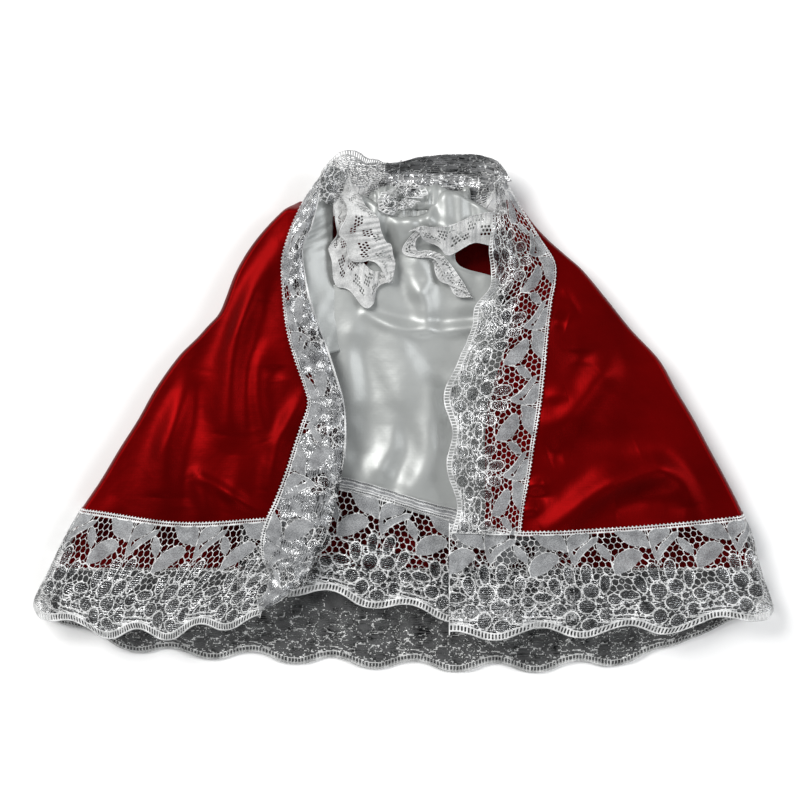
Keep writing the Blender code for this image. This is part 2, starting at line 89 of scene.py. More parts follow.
def interp(rows, x):
    """Smooth reading of (key, value) rows at x."""
    rows = sorted(rows)
    k = np.array([r[0] for r in rows], float)
    v = np.array([r[1] for r in rows], float)
    x = np.clip(np.asarray(x, float), k[0], k[-1])
    i = np.clip(np.searchsorted(k, x, side="right") - 1, 0, len(k) - 2)
    h = k[i + 1] - k[i]
    t = (x - k[i]) / h
    kb, vb = k[np.maximum(i - 1, 0)], v[np.maximum(i - 1, 0)]
    ka, va = k[np.minimum(i + 2, len(k) - 1)], v[np.minimum(i + 2, len(k) - 1)]
    m0 = (v[i + 1] - vb) / np.maximum(k[i + 1] - kb, 1e-9) * h
    m1 = (va - v[i]) / np.maximum(ka - k[i], 1e-9) * h
    t2, t3 = t * t, t ** 3
    return ((2 * t3 - 3 * t2 + 1) * v[i] + (t3 - 2 * t2 + t) * m0
            + (-2 * t3 + 3 * t2) * v[i + 1] + (t3 - t2) * m1)


def smooth(t):
    t = np.clip(t, 0.0, 1.0)
    return t * t * (3 - 2 * t)


def bell(d):
    return np.exp(-d * d)


class Surface:
    """A control grid (rows along u, columns along v) read smoothly at shares (u, v)."""

    def __init__(self, grid):
        self.g = np.asarray(grid, float)

    def at(self, u, v):
        g = self.g
        n, m = g.shape[0] - 1, g.shape[1] - 1
        u = np.clip(u, 0, 1) * n
        v = np.clip(v, 0, 1) * m
        i = np.minimum(u.astype(int), n - 1)
        j = np.minimum(v.astype(int), m - 1)
        fu, fv = u - i, v - j

        def weights(f):
            return (-0.5 * f + f * f - 0.5 * f ** 3, 1 - 2.5 * f * f + 1.5 * f ** 3,
                    0.5 * f + 2 * f * f - 1.5 * f ** 3, -0.5 * f * f + 0.5 * f ** 3)
        wu, wv = weights(fu), weights(fv)
        out = 0.0
        for a in range(4):
            ia = np.clip(i + a - 1, 0, n)
            row = 0.0
            for b in range(4):
                jb = np.clip(j + b - 1, 0, m)
                row = row + wv[b][..., None] * g[ia, jb]
            out = out + wu[a][..., None] * row
        return out

    def normal(self, u, v):
        e = 0.002
        du = self.at(np.minimum(u + e, 1), v) - self.at(np.maximum(u - e, 0), v)
        dv = self.at(u, np.minimum(v + e, 1)) - self.at(u, np.maximum(v - e, 0))
        n = np.cross(du, dv)
        return n / np.maximum(np.linalg.norm(n, axis=-1, keepdims=True), 1e-9)


def make_mesh(name, verts, loops, sizes, materials, face_mat=None):
    """A mesh object from vertex positions in millimetres and a flat loop list."""
    mesh = bpy.data.meshes.new(name)
    mesh.vertices.add(len(verts))
    mesh.vertices.foreach_set("co", (np.asarray(verts, np.float64) * MM).astype(np.float32).ravel())
    mesh.loops.add(len(loops))
    mesh.loops.foreach_set("vertex_index", np.asarray(loops, np.int32))
    starts = np.concatenate([[0], np.cumsum(sizes)[:-1]]).astype(np.int32)
    mesh.polygons.add(len(sizes))
    mesh.polygons.foreach_set("loop_start", starts)
    mesh.polygons.foreach_set("loop_total", np.asarray(sizes, np.int32))
    for m in materials:
        mesh.materials.append(m)
    if face_mat is not None:
        mesh.polygons.foreach_set("material_index", np.asarray(face_mat, np.int32))
    mesh.polygons.foreach_set("use_smooth", np.ones(len(sizes), bool))
    mesh.update(calc_edges=True)
    mesh.validate()
    ob = bpy.data.objects.new(name, mesh)
    bpy.context.collection.objects.link(ob)
    return ob


def closed_sheet(name, P, thick, material):
    """Cloth of a real thickness about a dense grid of middle points (n, m, 3)."""
    n, m = P.shape[:2]
    du = np.gradient(P, axis=0)
    dv = np.gradient(P, axis=1)
    nor = np.cross(du, dv)
    nor /= np.maximum(np.linalg.norm(nor, axis=-1, keepdims=True), 1e-9)
    top = (P + nor * thick / 2).reshape(-1, 3)
    low = (P - nor * thick / 2).reshape(-1, 3)
    idx = np.arange(n * m).reshape(n, m)
    a, b, c, d = idx[:-1, :-1], idx[1:, :-1], idx[1:, 1:], idx[:-1, 1:]
    up = np.stack([a, b, c, d], -1).reshape(-1, 4)
    dn = up[:, ::-1] + n * m
    rim = np.concatenate([idx[0, :-1], idx[:-1, -1], idx[-1, :0:-1], idx[:0:-1, 0]])
    nxt = np.roll(rim, -1)
    wall = np.stack([rim, nxt, nxt + n * m, rim + n * m], -1)
    faces = np.concatenate([up, dn, wall])
    return make_mesh(name, np.concatenate([top, low]), faces.ravel(),
                     np.full(len(faces), 4), [material])


# =========================================================================================
# 3. The lace, drawn once as threads on a flat repeat
# =========================================================================================
def seg_dist(U, V, pts, closed=False):
    """Distance from each grid point to a polyline."""
    pts = np.asarray(pts, float)
    if closed:
        pts = np.vstack([pts, pts[:1]])
    best = np.full(U.shape, 1e9)
    for (x0, y0), (x1, y1) in zip(pts[:-1], pts[1:]):
        dx, dy = x1 - x0, y1 - y0
        L = dx * dx + dy * dy
        if L < 1e-9:
            continue
        t = np.clip(((U - x0) * dx + (V - y0) * dy) / L, 0, 1)
        d = (U - x0 - t * dx) ** 2 + (V - y0 - t * dy) ** 2
        np.minimum(best, d, out=best)
    return np.sqrt(best)


def inside_poly(U, V, pts):
    pts = np.asarray(pts, float)
    c = np.zeros(U.shape, bool)
    for (x0, y0), (x1, y1) in zip(pts, np.roll(pts, -1, axis=0)):
        if abs(y1 - y0) < 1e-9:
            continue
        hit = ((V >= min(y0, y1)) & (V < max(y0, y1)))
        c ^= hit & (U < x0 + (V - y0) / (y1 - y0) * (x1 - x0))
    return c


def oval(cx, cy, a, b, turn=0.0, point=0.0, n=28):
    """An egg-shaped loop, pointed at its lower end by point."""
    t = np.linspace(0, 2 * math.pi, n, endpoint=False)
    x = a * np.sin(t) * (1 - point * 0.5 * (1 - np.cos(t)))
    y = -b * np.cos(t)
    c, s = math.cos(turn), math.sin(turn)
    return np.stack([cx + x * c - y * s, cy + x * s + y * c], 1)


def closed_curve(pts, n=44):
    p = np.asarray(pts, float)
    k = len(p)
    t = np.linspace(0, k, n, endpoint=False)
    i = t.astype(int)
    f = (t - i)[:, None]
    p0, p1, p2, p3 = p[(i - 1) % k], p[i % k], p[(i + 1) % k], p[(i + 2) % k]
    return 0.5 * (2 * p1 + (p2 - p0) * f + (2 * p0 - 5 * p1 + 4 * p2 - p3) * f * f
                  + (3 * p1 - p0 - 3 * p2 + p3) * f ** 3)


PETALS = [  # centre u, v, half widths, turn, point
    (10.4, 29.0, 3.7, 4.9, -0.25, 0.35), (18.0, 23.6, 3.2, 5.2, -0.12, 0.3),
    (26.4, 23.0, 3.5, 5.6, 0.12, 0.3), (18.7, 32.4, 4.2, 4.4, 0.1, 0.0),
    (27.6, 31.4, 4.2, 3.8, -0.1, 0.0), (35.0, 28.2, 3.2, 5.2, 0.3, 0.35),
    (11.0, 40.8, 4.0, 3.5, 0.2, 0.0), (17.4, 45.6, 3.6, 4.0, 0.0, 0.0),
    (26.0, 48.4, 4.0, 3.2, 0.0, 0.0), (33.8, 43.8, 3.4, 3.6, 0.0, 0.0),
    (24.6, 39.2, 4.4, 3.6, 0.0, 0.0), (38.4, 36.2, 3.5, 3.0, 0.1, 0.0),
    (3.8, 34.2, 5.0, 2.5, 0.0, 0.0),
]
LEAVES = [
    [(1.6, 1.9), (5.5, 2.0), (10.5, 2.0), (15.2, 2.1), (17.0, 5.0), (18.0, 10.8), (14.5, 9.8),
     (10.0, 9.4), (6.2, 7.6), (3.8, 4.8)],
    [(19.3, 3.6), (22.5, 2.0), (26.8, 2.0), (30.0, 2.1), (29.0, 5.2), (25.5, 7.4), (21.5, 9.6),
     (19.2, 11.0), (18.6, 7.0)],
    [(-0.9, 23.4), (-1.2, 18.5), (0.8, 14.4), (4.8, 11.8), (9.2, 11.0), (13.2, 12.8), (13.0, 15.4),
     (9.6, 18.8), (6.5, 21.2), (2.2, 22.9)],
    [(33.3, 7.4), (36.6, 8.6), (39.2, 12.0), (39.6, 15.6), (36.4, 14.6), (33.9, 11.4)],
]
BAND = [(18.9, 12.5), (21.3, 17.8), (24.6, 13.2), (29.0, 9.6), (33.2, 6.6), (34.2, 4.2),
        (31.6, 4.6), (27.4, 7.4), (23.6, 10.0), (21.2, 13.2), (19.9, 8.0), (18.6, 4.2)]
CORDS = [
    [(18.4, 2.2), (18.6, 7.0), (19.0, 12.0), (21.2, 18.4)],
    [(21.2, 18.4), (24.9, 13.4), (29.4, 9.4), (33.6, 5.8), (34.6, 2.0)],
    [(21.2, 18.4), (20.2, 20.0)], [(21.2, 18.4), (22.6, 20.0)],
    [(13.0, 15.2), (15.6, 17.4), (17.0, 18.8)],
    [(39.4, 15.4), (40.0, 19.2), (41.1, 23.4)],
    [(-1.0, 23.4), (2.0, 24.6), (6.8, 25.0), (10.2, 24.0)],
    [(35.4, 22.4), (38.0, 24.2), (41.2, 23.6)],
    [(-5.6, 39.6), (-3.0, 41.6), (-0.4, 39.2), (2.6, 41.4), (5.4, 39.4), (7.6, 40.6)],
    [(-6.8, 43.6), (-2.0, 44.4), (3.5, 44.2), (9.0, 45.0), (13.6, 45.0)],
    [(-6.2, 45.8), (0.0, 46.2), (6.0, 46.0), (12.0, 47.4)],
    [(30.0, 47.4), (35.0, 48.0), (39.0, 46.8)],
]


def scallop_mid(u):
    return 50.8 + 2.7 * np.cos(2 * math.pi * (u - 24.0) / REPEAT)


def wide_tile(cell):
    """Thread field of one repeat. Returns F (>0 on thread), relief in mm, and kind."""
    nu = int(round(REPEAT / cell))
    nv = int(round(57.0 / cell))
    u = np.arange(nu) * REPEAT / nu
    v = -0.9 + np.arange(nv + 1) * 57.0 / nv
    U, V = np.meshgrid(u, v, indexing="ij")
    F = np.full(U.shape, -9.0)
    K = np.zeros(U.shape, int)
    H = np.zeros(U.shape)

    def add(f, kind, high):
        nonlocal F, K, H
        better = f > F
        K = np.where(better & (f > -0.35), kind, K)
        H = np.where(better, high, H)
        F = np.maximum(F, f)

    shifts = (-REPEAT, 0.0, REPEAT)
    petal_in = np.full(U.shape, -9.0)
    petal_line = np.full(U.shape, 9.0)
    for cx, cy, a, b, turn, point in PETALS:
        loop = oval(cx, cy, a, b, turn, point)
        for s in shifts:
            near = (np.abs(U - cx - s) < 9) & (np.abs(V - cy) < 9)
            if not near.any():
                continue
            d = np.full(U.shape, 9.0)
            d[near] = seg_dist(U[near] - s, V[near], loop, True)
            ins = np.zeros(U.shape, bool)
            ins[near] = inside_poly(U[near] - s, V[near], loop)
            petal_in = np.maximum(petal_in, np.where(ins, d, -d))
            petal_line = np.minimum(petal_line, d)
    leaf_in = np.full(U.shape, -9.0)
    leaf_line = np.full(U.shape, 9.0)
    for pts in LEAVES + [BAND]:
        loop = closed_curve(pts)
        for s in shifts:
            d = seg_dist(U - s, V, loop, True)
            ins = inside_poly(U - s, V, loop)
            leaf_in = np.maximum(leaf_in, np.where(ins, d, -d))
            leaf_line = np.minimum(leaf_line, d)
    cord = np.full(U.shape, 9.0)
    for pts in CORDS:
        fine = even(pts, 4 * len(pts))
        for s in shifts:
            cord = np.minimum(cord, seg_dist(U - s, V, fine))

    mid = scallop_mid(U)
    slope = -2.7 * 2 * math.pi / REPEAT * np.sin(2 * math.pi * (U - 24.0) / REPEAT)
    off = (V - mid) / np.sqrt(1 + slope ** 2)
    body = np.minimum(V - 1.4, -(off + 1.2))      # inside the ground of the lace

    # hexagonal ground, slightly uneven as knitted
    a = 3.5
    Uw = U + 0.35 * np.sin(V * 0.55) + 0.25 * np.sin(U * 2 * math.pi / 14.0 + V * 0.9)
    Vw = V + 0.3 * np.sin(U * 2 * math.pi / 10.5)
    row = a * math.sqrt(3) / 2
    best1 = np.full(U.shape, 1e9)
    best2 = np.full(U.shape, 1e9)
    r0 = np.floor(Vw / row)
    for dr in (-1, 0, 1, 2):
        r = r0 + dr
        cy = r * row
        shift = np.where(r % 2 == 0, 0.0, a / 2)
        c0 = np.round((Uw - shift) / a)
        for dc in (-1, 0, 1):
            cx = (c0 + dc) * a + shift
            d = (Uw - cx) ** 2 + (Vw - cy) ** 2
            lower = d < best1
            best2 = np.where(lower, best1, np.minimum(best2, d))
            best1 = np.minimum(best1, d)
    net = 0.20 - (best2 - best1) / (2 * a)
    low = smooth((V - 33.0) / 3.0)
    add(np.minimum(np.minimum(net, body), -np.maximum(petal_in, leaf_in) + 0.3), 0, 0.10)

    # close silver lines of the lower ground
    wave = V + 0.45 * np.sin(U * 2 * math.pi / 21.0) + 0.2 * np.sin(U * 2 * math.pi / 7.0)
    lines = 0.20 - np.abs((wave % 1.12) - 0.56)
    ties = 0.16 - np.abs(((U + 0.9 * np.floor(wave / 1.12)) % 2.8) - 1.4)
    ground = np.maximum(lines, np.minimum(ties, 0.2))
    add(np.minimum(np.minimum(ground, body), np.minimum(V - 34.0, -petal_in + 0.2)), 2, 0.13)
    add(np.minimum(np.minimum(ground, body),
                   np.minimum(np.minimum(V - 25.5, 34.5 - V), -petal_in + 0.2)
                   + np.where(np.sin(U * 2 * math.pi / REPEAT + 1.2) > 0.1, -9.0, 0.0)), 2, 0.12)

    # petals filled with close silver lines
    fill = 0.22 - np.abs((V % 0.93) - 0.465)
    fill = np.maximum(fill, 0.14 - np.abs(((U + 0.7 * np.floor(V / 0.93)) % 2.33) - 1.165))
    add(np.minimum(fill, petal_in), 2, 0.16)
    # leaves of close tulle
    add(np.minimum(leaf_in, 0.5), 1, 0.04)
    # outlining cords
    add(np.minimum(0.23 - petal_line, body), 0, 0.28)
    add(np.minimum(0.24 - leaf_line, body + 0.5), 0, 0.28)
    add(np.minimum(0.27 - cord, body + 0.5), 0, 0.3)
    # heading: two cords with small bars and picots
    add(0.34 - np.abs(V - 0.35), 0, 0.26)
    add(0.30 - np.abs(V - 1.85), 0, 0.28)
    add(np.minimum(0.22 - np.abs((U % 1.4) - 0.7), np.minimum(V, 2.0 - V)), 0, 0.16)
    add(0.42 - np.hypot((U % 2.1) - 1.05, V + 0.25), 0, 0.2)
    # scalloped ladder border
    add(0.34 - np.abs(off + 1.5), 0, 0.28)
    add(0.36 - np.abs(off - 1.45), 0, 0.3)
    step = REPEAT / 25
    add(np.minimum(0.42 - np.abs((U % step) - step / 2), 1.5 - np.abs(off)), 0, 0.26)
    F = np.where(off > 2.2, np.minimum(F, 2.2 - off), F)
    return F, H, K, v


def frill_tile(cell, width, rep=21.0):
    """Narrow gathered lace: close tulle with eyelet groups and a corded wavy edge."""
    nu = int(round(rep / cell))
    nv = int(round((width + 2.4) / cell))
    u = np.arange(nu) * rep / nu
    v = -0.9 + np.arange(nv + 1) * (width + 2.4) / nv
    U, V = np.meshgrid(u, v, indexing="ij")
    F = np.full(U.shape, -9.0)
    K = np.zeros(U.shape, int)
    H = np.zeros(U.shape)

    def add(f, kind, high):
        nonlocal F, K, H
        better = f > F
        K = np.where(better & (f > -0.35), kind, K)
        H = np.where(better, high, H)
        F = np.maximum(F, f)

    edge = width - 1.2 + 0.9 * np.cos(2 * math.pi * U / rep)
    body = np.minimum(V - 0.2, edge - V)
    holes = np.full(U.shape, -9.0)
    for cx, cy, spread_u, rows in ((5.2, width * 0.36, 2.2, 3), (15.4, width * 0.58, 2.1, 3),
                                   (10.4, width * 0.2, 2.0, 2), (0.4, width * 0.7, 2.0, 2)):
        for r in range(rows):
            for k in range(3):
                hx = cx + (k - 1) * spread_u + (r % 2) * spread_u / 2
                hy = cy + (r - rows / 2) * 1.9
                for s in (-rep, 0, rep):
                    holes = np.maximum(holes, 0.78 - np.hypot((U - hx - s) * 0.95, V - hy))
    add(np.minimum(np.minimum(body, 0.6), -holes), 1, 0.05)
    add(np.minimum(0.24 - np.abs(holes + 0.15), body + 0.2), 0, 0.22)
    for cx, cy, a, b, turn in ((6.5, width * 0.74, 3.2, 2.2, 0.2), (16.0, width * 0.24, 3.0, 2.2, -0.3),
                               (12.0, width * 0.78, 2.3, 1.8, 0.0)):
        loop = oval(cx, cy, a, b, turn, 0.2)
        for s in (-rep, 0, rep):
            d = seg_dist(U - s, V, loop, True)
            ins = inside_poly(U - s, V, loop)
            add(np.minimum(0.24 - d, body + 0.2), 0, 0.26)
            f = np.where(ins, d, -d)
            add(np.minimum(0.25 - np.abs((V % 0.9) - 0.45), np.minimum(f, body)), 2, 0.14)
    add(0.34 - np.abs(V - edge), 0, 0.34)
    add(0.26 - np.abs(V - edge + 1.5), 0, 0.22)
    add(np.minimum(0.2 - np.abs((U % 1.05) - 0.52), np.minimum(edge - V, V - edge + 1.6)), 0, 0.16)
    add(0.34 - np.abs(V - 0.1), 0, 0.28)
    F = np.where(V > edge + 0.4, np.minimum(F, edge + 0.4 - V), F)
    return F, H, K, v


def tape_tile(cell, width, rep=21.0):
    """Narrow woven heading: close tulle between corded edges with two rows of bars."""
    nu = int(round(rep / cell))
    nv = int(round((width + 1.2) / cell))
    u = np.arange(nu) * rep / nu
    v = -0.6 + np.arange(nv + 1) * (width + 1.2) / nv
    U, V = np.meshgrid(u, v, indexing="ij")
    F = np.minimum(np.minimum(V, width - V), 0.5)
    K = np.ones(U.shape, int)
    H = np.full(U.shape, 0.05)
    for at in (0.1, 1.5, width * 0.55, width - 1.5, width - 0.1):
        f = 0.26 - np.abs(V - at - 0.12 * np.sin(U * 2 * math.pi / 10.5))
        K = np.where(f > 0, 0, K)
        H = np.where(f > 0, 0.24, H)
        F = np.maximum(F, f)
    for lo, hi in ((0.1, 1.5), (width - 1.5, width - 0.1)):
        gap = np.minimum(np.minimum(V - lo - 0.25, hi - 0.25 - V), 0.28 - np.abs((U % 1.05) - 0.525))
        F = np.where(gap > 0, -gap - 0.01, F)
    return F, H, K, v


_tiles = {}


def get_tile(kind, cell, width=None):
    key = (kind, cell, width)
    if key not in _tiles:
        make = {"wide": lambda: wide_tile(cell), "frill": lambda: frill_tile(cell, width),
                "tape": lambda: tape_tile(cell, width)}
        _tiles[key] = make[kind]()
    return _tiles[key]


def lace(name, surface, length, kind="wide", cell=0.34, width=None, phase=0.0, v_lo=None,
         v_hi=None, mats=None, thick=0.10, seed=1, face=1.0, reverse=False, backed=None):
    """Cuts lace of a flat length along u and lays it on surface. v runs heading to edge."""
    rep = REPEAT if kind == "wide" else 21.0
    F0, H0, K0, v = get_tile(kind, cell, width)
    nu_t = F0.shape[0]
    du = rep / nu_t
    nu = int(round(length / du))
    full = WIDE if kind == "wide" else width
    i0 = int(round(phase / du))
    cols = (np.arange(nu + 1) + i0) % nu_t
    if reverse:
        cols = cols[::-1]
    F, H, K = F0[cols].copy(), H0[cols].copy(), K0[cols].copy()
    keep = np.ones(len(v), bool)
    lo = v[0] if v_lo is None else v_lo
    hi = v[-1] if v_hi is None else v_hi
    keep = (v >= lo - 1e-6) & (v <= hi + 1e-6)
    F, H, K, v = F[:, keep], H[:, keep], K[:, keep], v[keep]
    if backed is not None:
        # the lace's own fine ground closes part of the open net
        # a closed ground fills part of the open net: the lace's own fine ground on the left edge lace, a darker
        # fill of painted shade on the back hem lace and the collar's back
        uu = np.arange(nu + 1)[:, None] * du
        ground = np.minimum(backed(uu, v[None]), 0.5)
        hidden = (ground > F) & (F < 0)
        K = np.where(hidden, np.where((v[None] + 0.3 * np.sin(uu * 0.3)) % 1.25 < 0.5, 2, 1), K)
        H = np.where(hidden, 0.02, H)
        F = np.where(hidden, ground, F)
    F[0], F[-1] = -0.01, -0.01
    F[:, 0] = np.minimum(F[:, 0], -0.01)
    F[:, -1] = np.minimum(F[:, -1], -0.01)
    # cut ends are bound by a thread, so no net is left open there
    u = np.arange(nu + 1) * du
    end = 0.30 - np.minimum(np.abs(u - 0.5), np.abs(u - u[-1] + 0.5))[:, None]
    band = np.minimum(end, F.max() * 0 + np.where((F > -1.6) & (v[None] > 0), 9, -9))
    H = np.where(band > F, 0.2, H)
    K = np.where(band > F, 0, K)
    F = np.maximum(F, band)
    rng = np.random.default_rng(seed)
    jit = rng.normal(0, 1, F.shape)
    n, m = F.shape
    inside = F > 0
    gi = -np.ones((n, m), int)
    gi[inside] = np.arange(inside.sum())
    gu, gv = np.nonzero(inside)
    pos_u = [gu.astype(float)]
    pos_v = [gv.astype(float)]
    count = len(gu)
    # crossings on edges along u
    cu = inside[:-1] != inside[1:]
    eu = -np.ones((n - 1, m), int)
    a, b = np.nonzero(cu)
    f0, f1 = F[a, b], F[a + 1, b]
    t = np.clip(f0 / (f0 - f1), 0.08, 0.92)
    eu[a, b] = count + np.arange(len(a))
    count += len(a)
    pos_u.append(a + t)
    pos_v.append(b.astype(float))
    cv = inside[:, :-1] != inside[:, 1:]
    ev = -np.ones((n, m - 1), int)
    a, b = np.nonzero(cv)
    f0, f1 = F[a, b], F[a, b + 1]
    t = np.clip(f0 / (f0 - f1), 0.08, 0.92)
    ev[a, b] = count + np.arange(len(a))
    count += len(a)
    pos_u.append(a.astype(float))
    pos_v.append(b + t)
    pu, pv = np.concatenate(pos_u), np.concatenate(pos_v)
    n_in = len(gu)
    # polygons, corner order 0 (i,j) 1 (i+1,j) 2 (i+1,j+1) 3 (i,j+1)
    c = [inside[:-1, :-1], inside[1:, :-1], inside[1:, 1:], inside[:-1, 1:]]
    code = c[0] * 1 + c[1] * 2 + c[2] * 4 + c[3] * 8
    corner = [gi[:-1, :-1], gi[1:, :-1], gi[1:, 1:], gi[:-1, 1:]]
    edge = [eu[:, :-1], ev[1:], eu[:, 1:], ev[:-1]]        # between corners 0-1, 1-2, 2-3, 3-0
    loops, sizes, where = [], [], []
    for k in range(1, 16):
        sel = code == k
        if not sel.any():
            continue
        on = [(k >> q) & 1 for q in range(4)]
        polys = []
        if k in (5, 10):      # saddle: two separate corners
            for q in range(4):
                if on[q]:
                    polys.append([("c", q), ("e", q), ("e", (q + 3) % 4)])
        else:
            ring = []
            for q in range(4):
                if on[q]:
                    ring.append(("c", q))
                if on[q] != on[(q + 1) % 4]:
                    ring.append(("e", q))
            polys.append(ring)
        for ring in polys:
            cols_ = [(corner if w == "c" else edge)[q][sel] for w, q in ring]
            block = np.stack(cols_, 1)
            loops.append(block)
            sizes.append(np.full(len(block), len(ring)))
            where.append(np.argwhere(sel))
    # kind of each face from its cell's corner with most thread
    face_kind = []
    for wc in where:
        i, j = wc[:, 0], wc[:, 1]
        fs = np.stack([F[i, j], F[i + 1, j], F[i + 1, j + 1], F[i, j + 1]])
        ks = np.stack([K[i, j], K[i + 1, j], K[i + 1, j + 1], K[i, j + 1]])
        face_kind.append(ks[fs.argmax(0), np.arange(len(i))])
    su = np.clip(pu / (n - 1), 0, 1)
    v_start = 0.0 if v_lo is None else v_lo
    sv = np.clip((np.interp(pv, np.arange(m), v) - v_start) / (full - v_start), -0.03, 1.06)
    sv01 = np.clip(sv, 0, 1)
    P = surface.at(su, sv01)
    N = surface.normal(su, sv01) * face
    # beyond the heading or the scallop the lace goes straight on
    over = (sv - sv01)[:, None] * full
    dv = surface.at(su, np.clip(sv01, 0.02, 1)) - surface.at(su, np.clip(sv01, 0.02, 1) - 0.02)
    dv /= np.maximum(np.linalg.norm(dv, axis=1, keepdims=True), 1e-9)
    P = P + dv * over
    rise = np.zeros(count)
    fi = np.clip(F[inside], 0, 0.34)
    rise[:n_in] = thick / 2 + H[inside] * np.sqrt(fi / 0.34) * (1 + 0.25 * jit[inside])
    metal = K[inside] == 2
    rise[:n_in] += np.where(metal, 0.05 * jit[inside], 0.0)
    down = np.zeros(count)
    down[:n_in] = thick / 2 + 0.45 * H[inside] * np.sqrt(fi / 0.34)
    top = P + N * np.maximum(rise, 0.02)[:, None] * (np.arange(count) < n_in)[:, None]
    # the underside shares the rim with the top
    low = (P - N * np.maximum(down, 0.02)[:, None])[:n_in]
    remap = np.arange(count)
    remap[:n_in] = count + np.arange(n_in)
    all_loops, all_sizes = [], []
    turn = 1 if face > 0 else -1
    for block in loops:
        all_loops.append(block[:, ::turn].ravel())
    for block in loops:
        all_loops.append(remap[block[:, ::-turn]].ravel())
    all_sizes = np.concatenate(sizes + sizes)
    kinds = np.concatenate(face_kind + face_kind)
    ob = make_mesh(name, np.concatenate([top, low]), np.concatenate(all_loops), all_sizes,
                   mats, kinds)
    return ob


# =========================================================================================
# 4. Materials
# =========================================================================================
def new_material(name, **sockets):
    mat = bpy.data.materials.new(name)
    mat.use_nodes = True
    shader = mat.node_tree.nodes["Principled BSDF"]
    for key, value in sockets.items():
        shader.inputs[key.replace("_", " ")].default_value = value
    return mat, mat.node_tree, shader


def node(tree, kind, **props):
    n = tree.nodes.new(kind)
    for key, value in props.items():
        if key in n.inputs:
            n.inputs[key].default_value = value
        else:
            setattr(n, key, value)
    return n


def coords(tree):
    return tree.nodes.new("ShaderNodeTexCoord").outputs["Object"]


def ramp(tree, fac, stops):
    r = tree.nodes.new("ShaderNodeValToRGB")
    while len(r.color_ramp.elements) < len(stops):
        r.color_ramp.elements.new(0.5)
    for el, (pos, colour) in zip(r.color_ramp.elements, stops):
        el.position = pos
        el.color = (*colour, 1.0) if len(colour) == 3 else colour
    tree.links.new(fac, r.inputs[0])
    return r.outputs[0]


def noise(tree, where, scale, detail=2.0, rough=0.5):
    n = node(tree, "ShaderNodeTexNoise", Scale=scale, Detail=detail, Roughness=rough)
    tree.links.new(where, n.inputs["Vector"])
    return n.outputs["Fac"]


def weave(tree, where, pitch_mm):
    """Warp and weft of a close satin as one height."""
    outs = []
    for direction in ("X", "Y"):
        w = node(tree, "ShaderNodeTexWave", bands_direction=direction, Scale=1000.0 / pitch_mm / 6.283,
                 Distortion=1.2, Detail=1.0)
        tree.links.new(where, w.inputs["Vector"])
        outs.append(w.outputs["Fac"])
    mix = node(tree, "ShaderNodeMath", operation="ADD")
    tree.links.new(outs[0], mix.inputs[0])
    tree.links.new(outs[1], mix.inputs[1])
    return mix.outputs[0]


def bump(tree, height, strength, distance, under=None):
    b = node(tree, "ShaderNodeBump", Strength=strength, Distance=distance)
    tree.links.new(height, b.inputs["Height"])
    if under is not None:
        tree.links.new(under, b.inputs["Normal"])
    return b.outputs["Normal"]


def satin(name, dark, light, metallic, roughness):
    mat, tree, shader = new_material(name, Metallic=metallic, Roughness=roughness)
    where = coords(tree)
    tree.links.new(ramp(tree, noise(tree, where, 24.0, 4.0), [(0.3, dark), (0.72, light)]),
                   shader.inputs["Base Color"])
    soft = bump(tree, noise(tree, where, 130.0, 3.0, 0.45), 0.22, 0.0012)
    tree.links.new(bump(tree, weave(tree, where, 0.42), 0.10, 0.00006, soft), shader.inputs["Normal"])
    return mat


def yarn(name, dark, light, metallic, roughness, grain, strength, alpha=None):
    mat, tree, shader = new_material(name, Metallic=metallic, Roughness=roughness)
    where = coords(tree)
    tree.links.new(ramp(tree, noise(tree, where, 170.0, 3.0), [(0.32, dark), (0.68, light)]),
                   shader.inputs["Base Color"])
    tree.links.new(bump(tree, noise(tree, where, grain, 2.0, 0.6), strength, 0.0003),
                   shader.inputs["Normal"])
    if alpha:
        mesh_ = ramp(tree, noise(tree, where, 1500.0, 1.0),
                     [(0.38, (alpha[0],) * 3), (0.62, (alpha[1],) * 3)])
        tree.links.new(mesh_, shader.inputs["Alpha"])
    return mat


RED = satin("cape_red_satin", (0.088, 0.0001, 0.0002), (0.155, 0.0003, 0.0006), 0.66, 0.46)
# the cape's back satin shows its duller reverse face (less metallic, rougher); its darker red is painted shade
RED_BACK_SHADED = satin("cape_back_red_satin_painted_shade", (0.075, 0.0002, 0.0003), (0.11, 0.0004, 0.0006), 0.3, 0.5)
WHITE = satin("tunic_white_satin", (0.34, 0.353, 0.346), (0.45, 0.465, 0.457), 0.38, 0.47)
THREAD = yarn("lace_white_thread", (0.40, 0.405, 0.405), (0.82, 0.825, 0.825), 0.0, 0.5, 1600.0, 0.5)
LUREX = yarn("lace_silver_lurex", (0.05, 0.052, 0.055), (0.62, 0.63, 0.64), 0.92, 0.18, 1100.0, 1.0)
TULLE = yarn("lace_close_tulle", (0.22, 0.225, 0.235), (0.40, 0.41, 0.42), 0.05, 0.55, 2300.0, 0.8,
             alpha=(0.5, 0.95))
# the under-lace yarns are darker copies of the lace yarns: painted shade on the lowest lace layers, and their
# near-black ground is painted shade in the holes
THREAD_PAINTED_SHADE = yarn("under_lace_thread_painted_shade", (0.26, 0.263, 0.26), (0.62, 0.625, 0.62), 0.0, 0.55, 1600.0, 0.5)
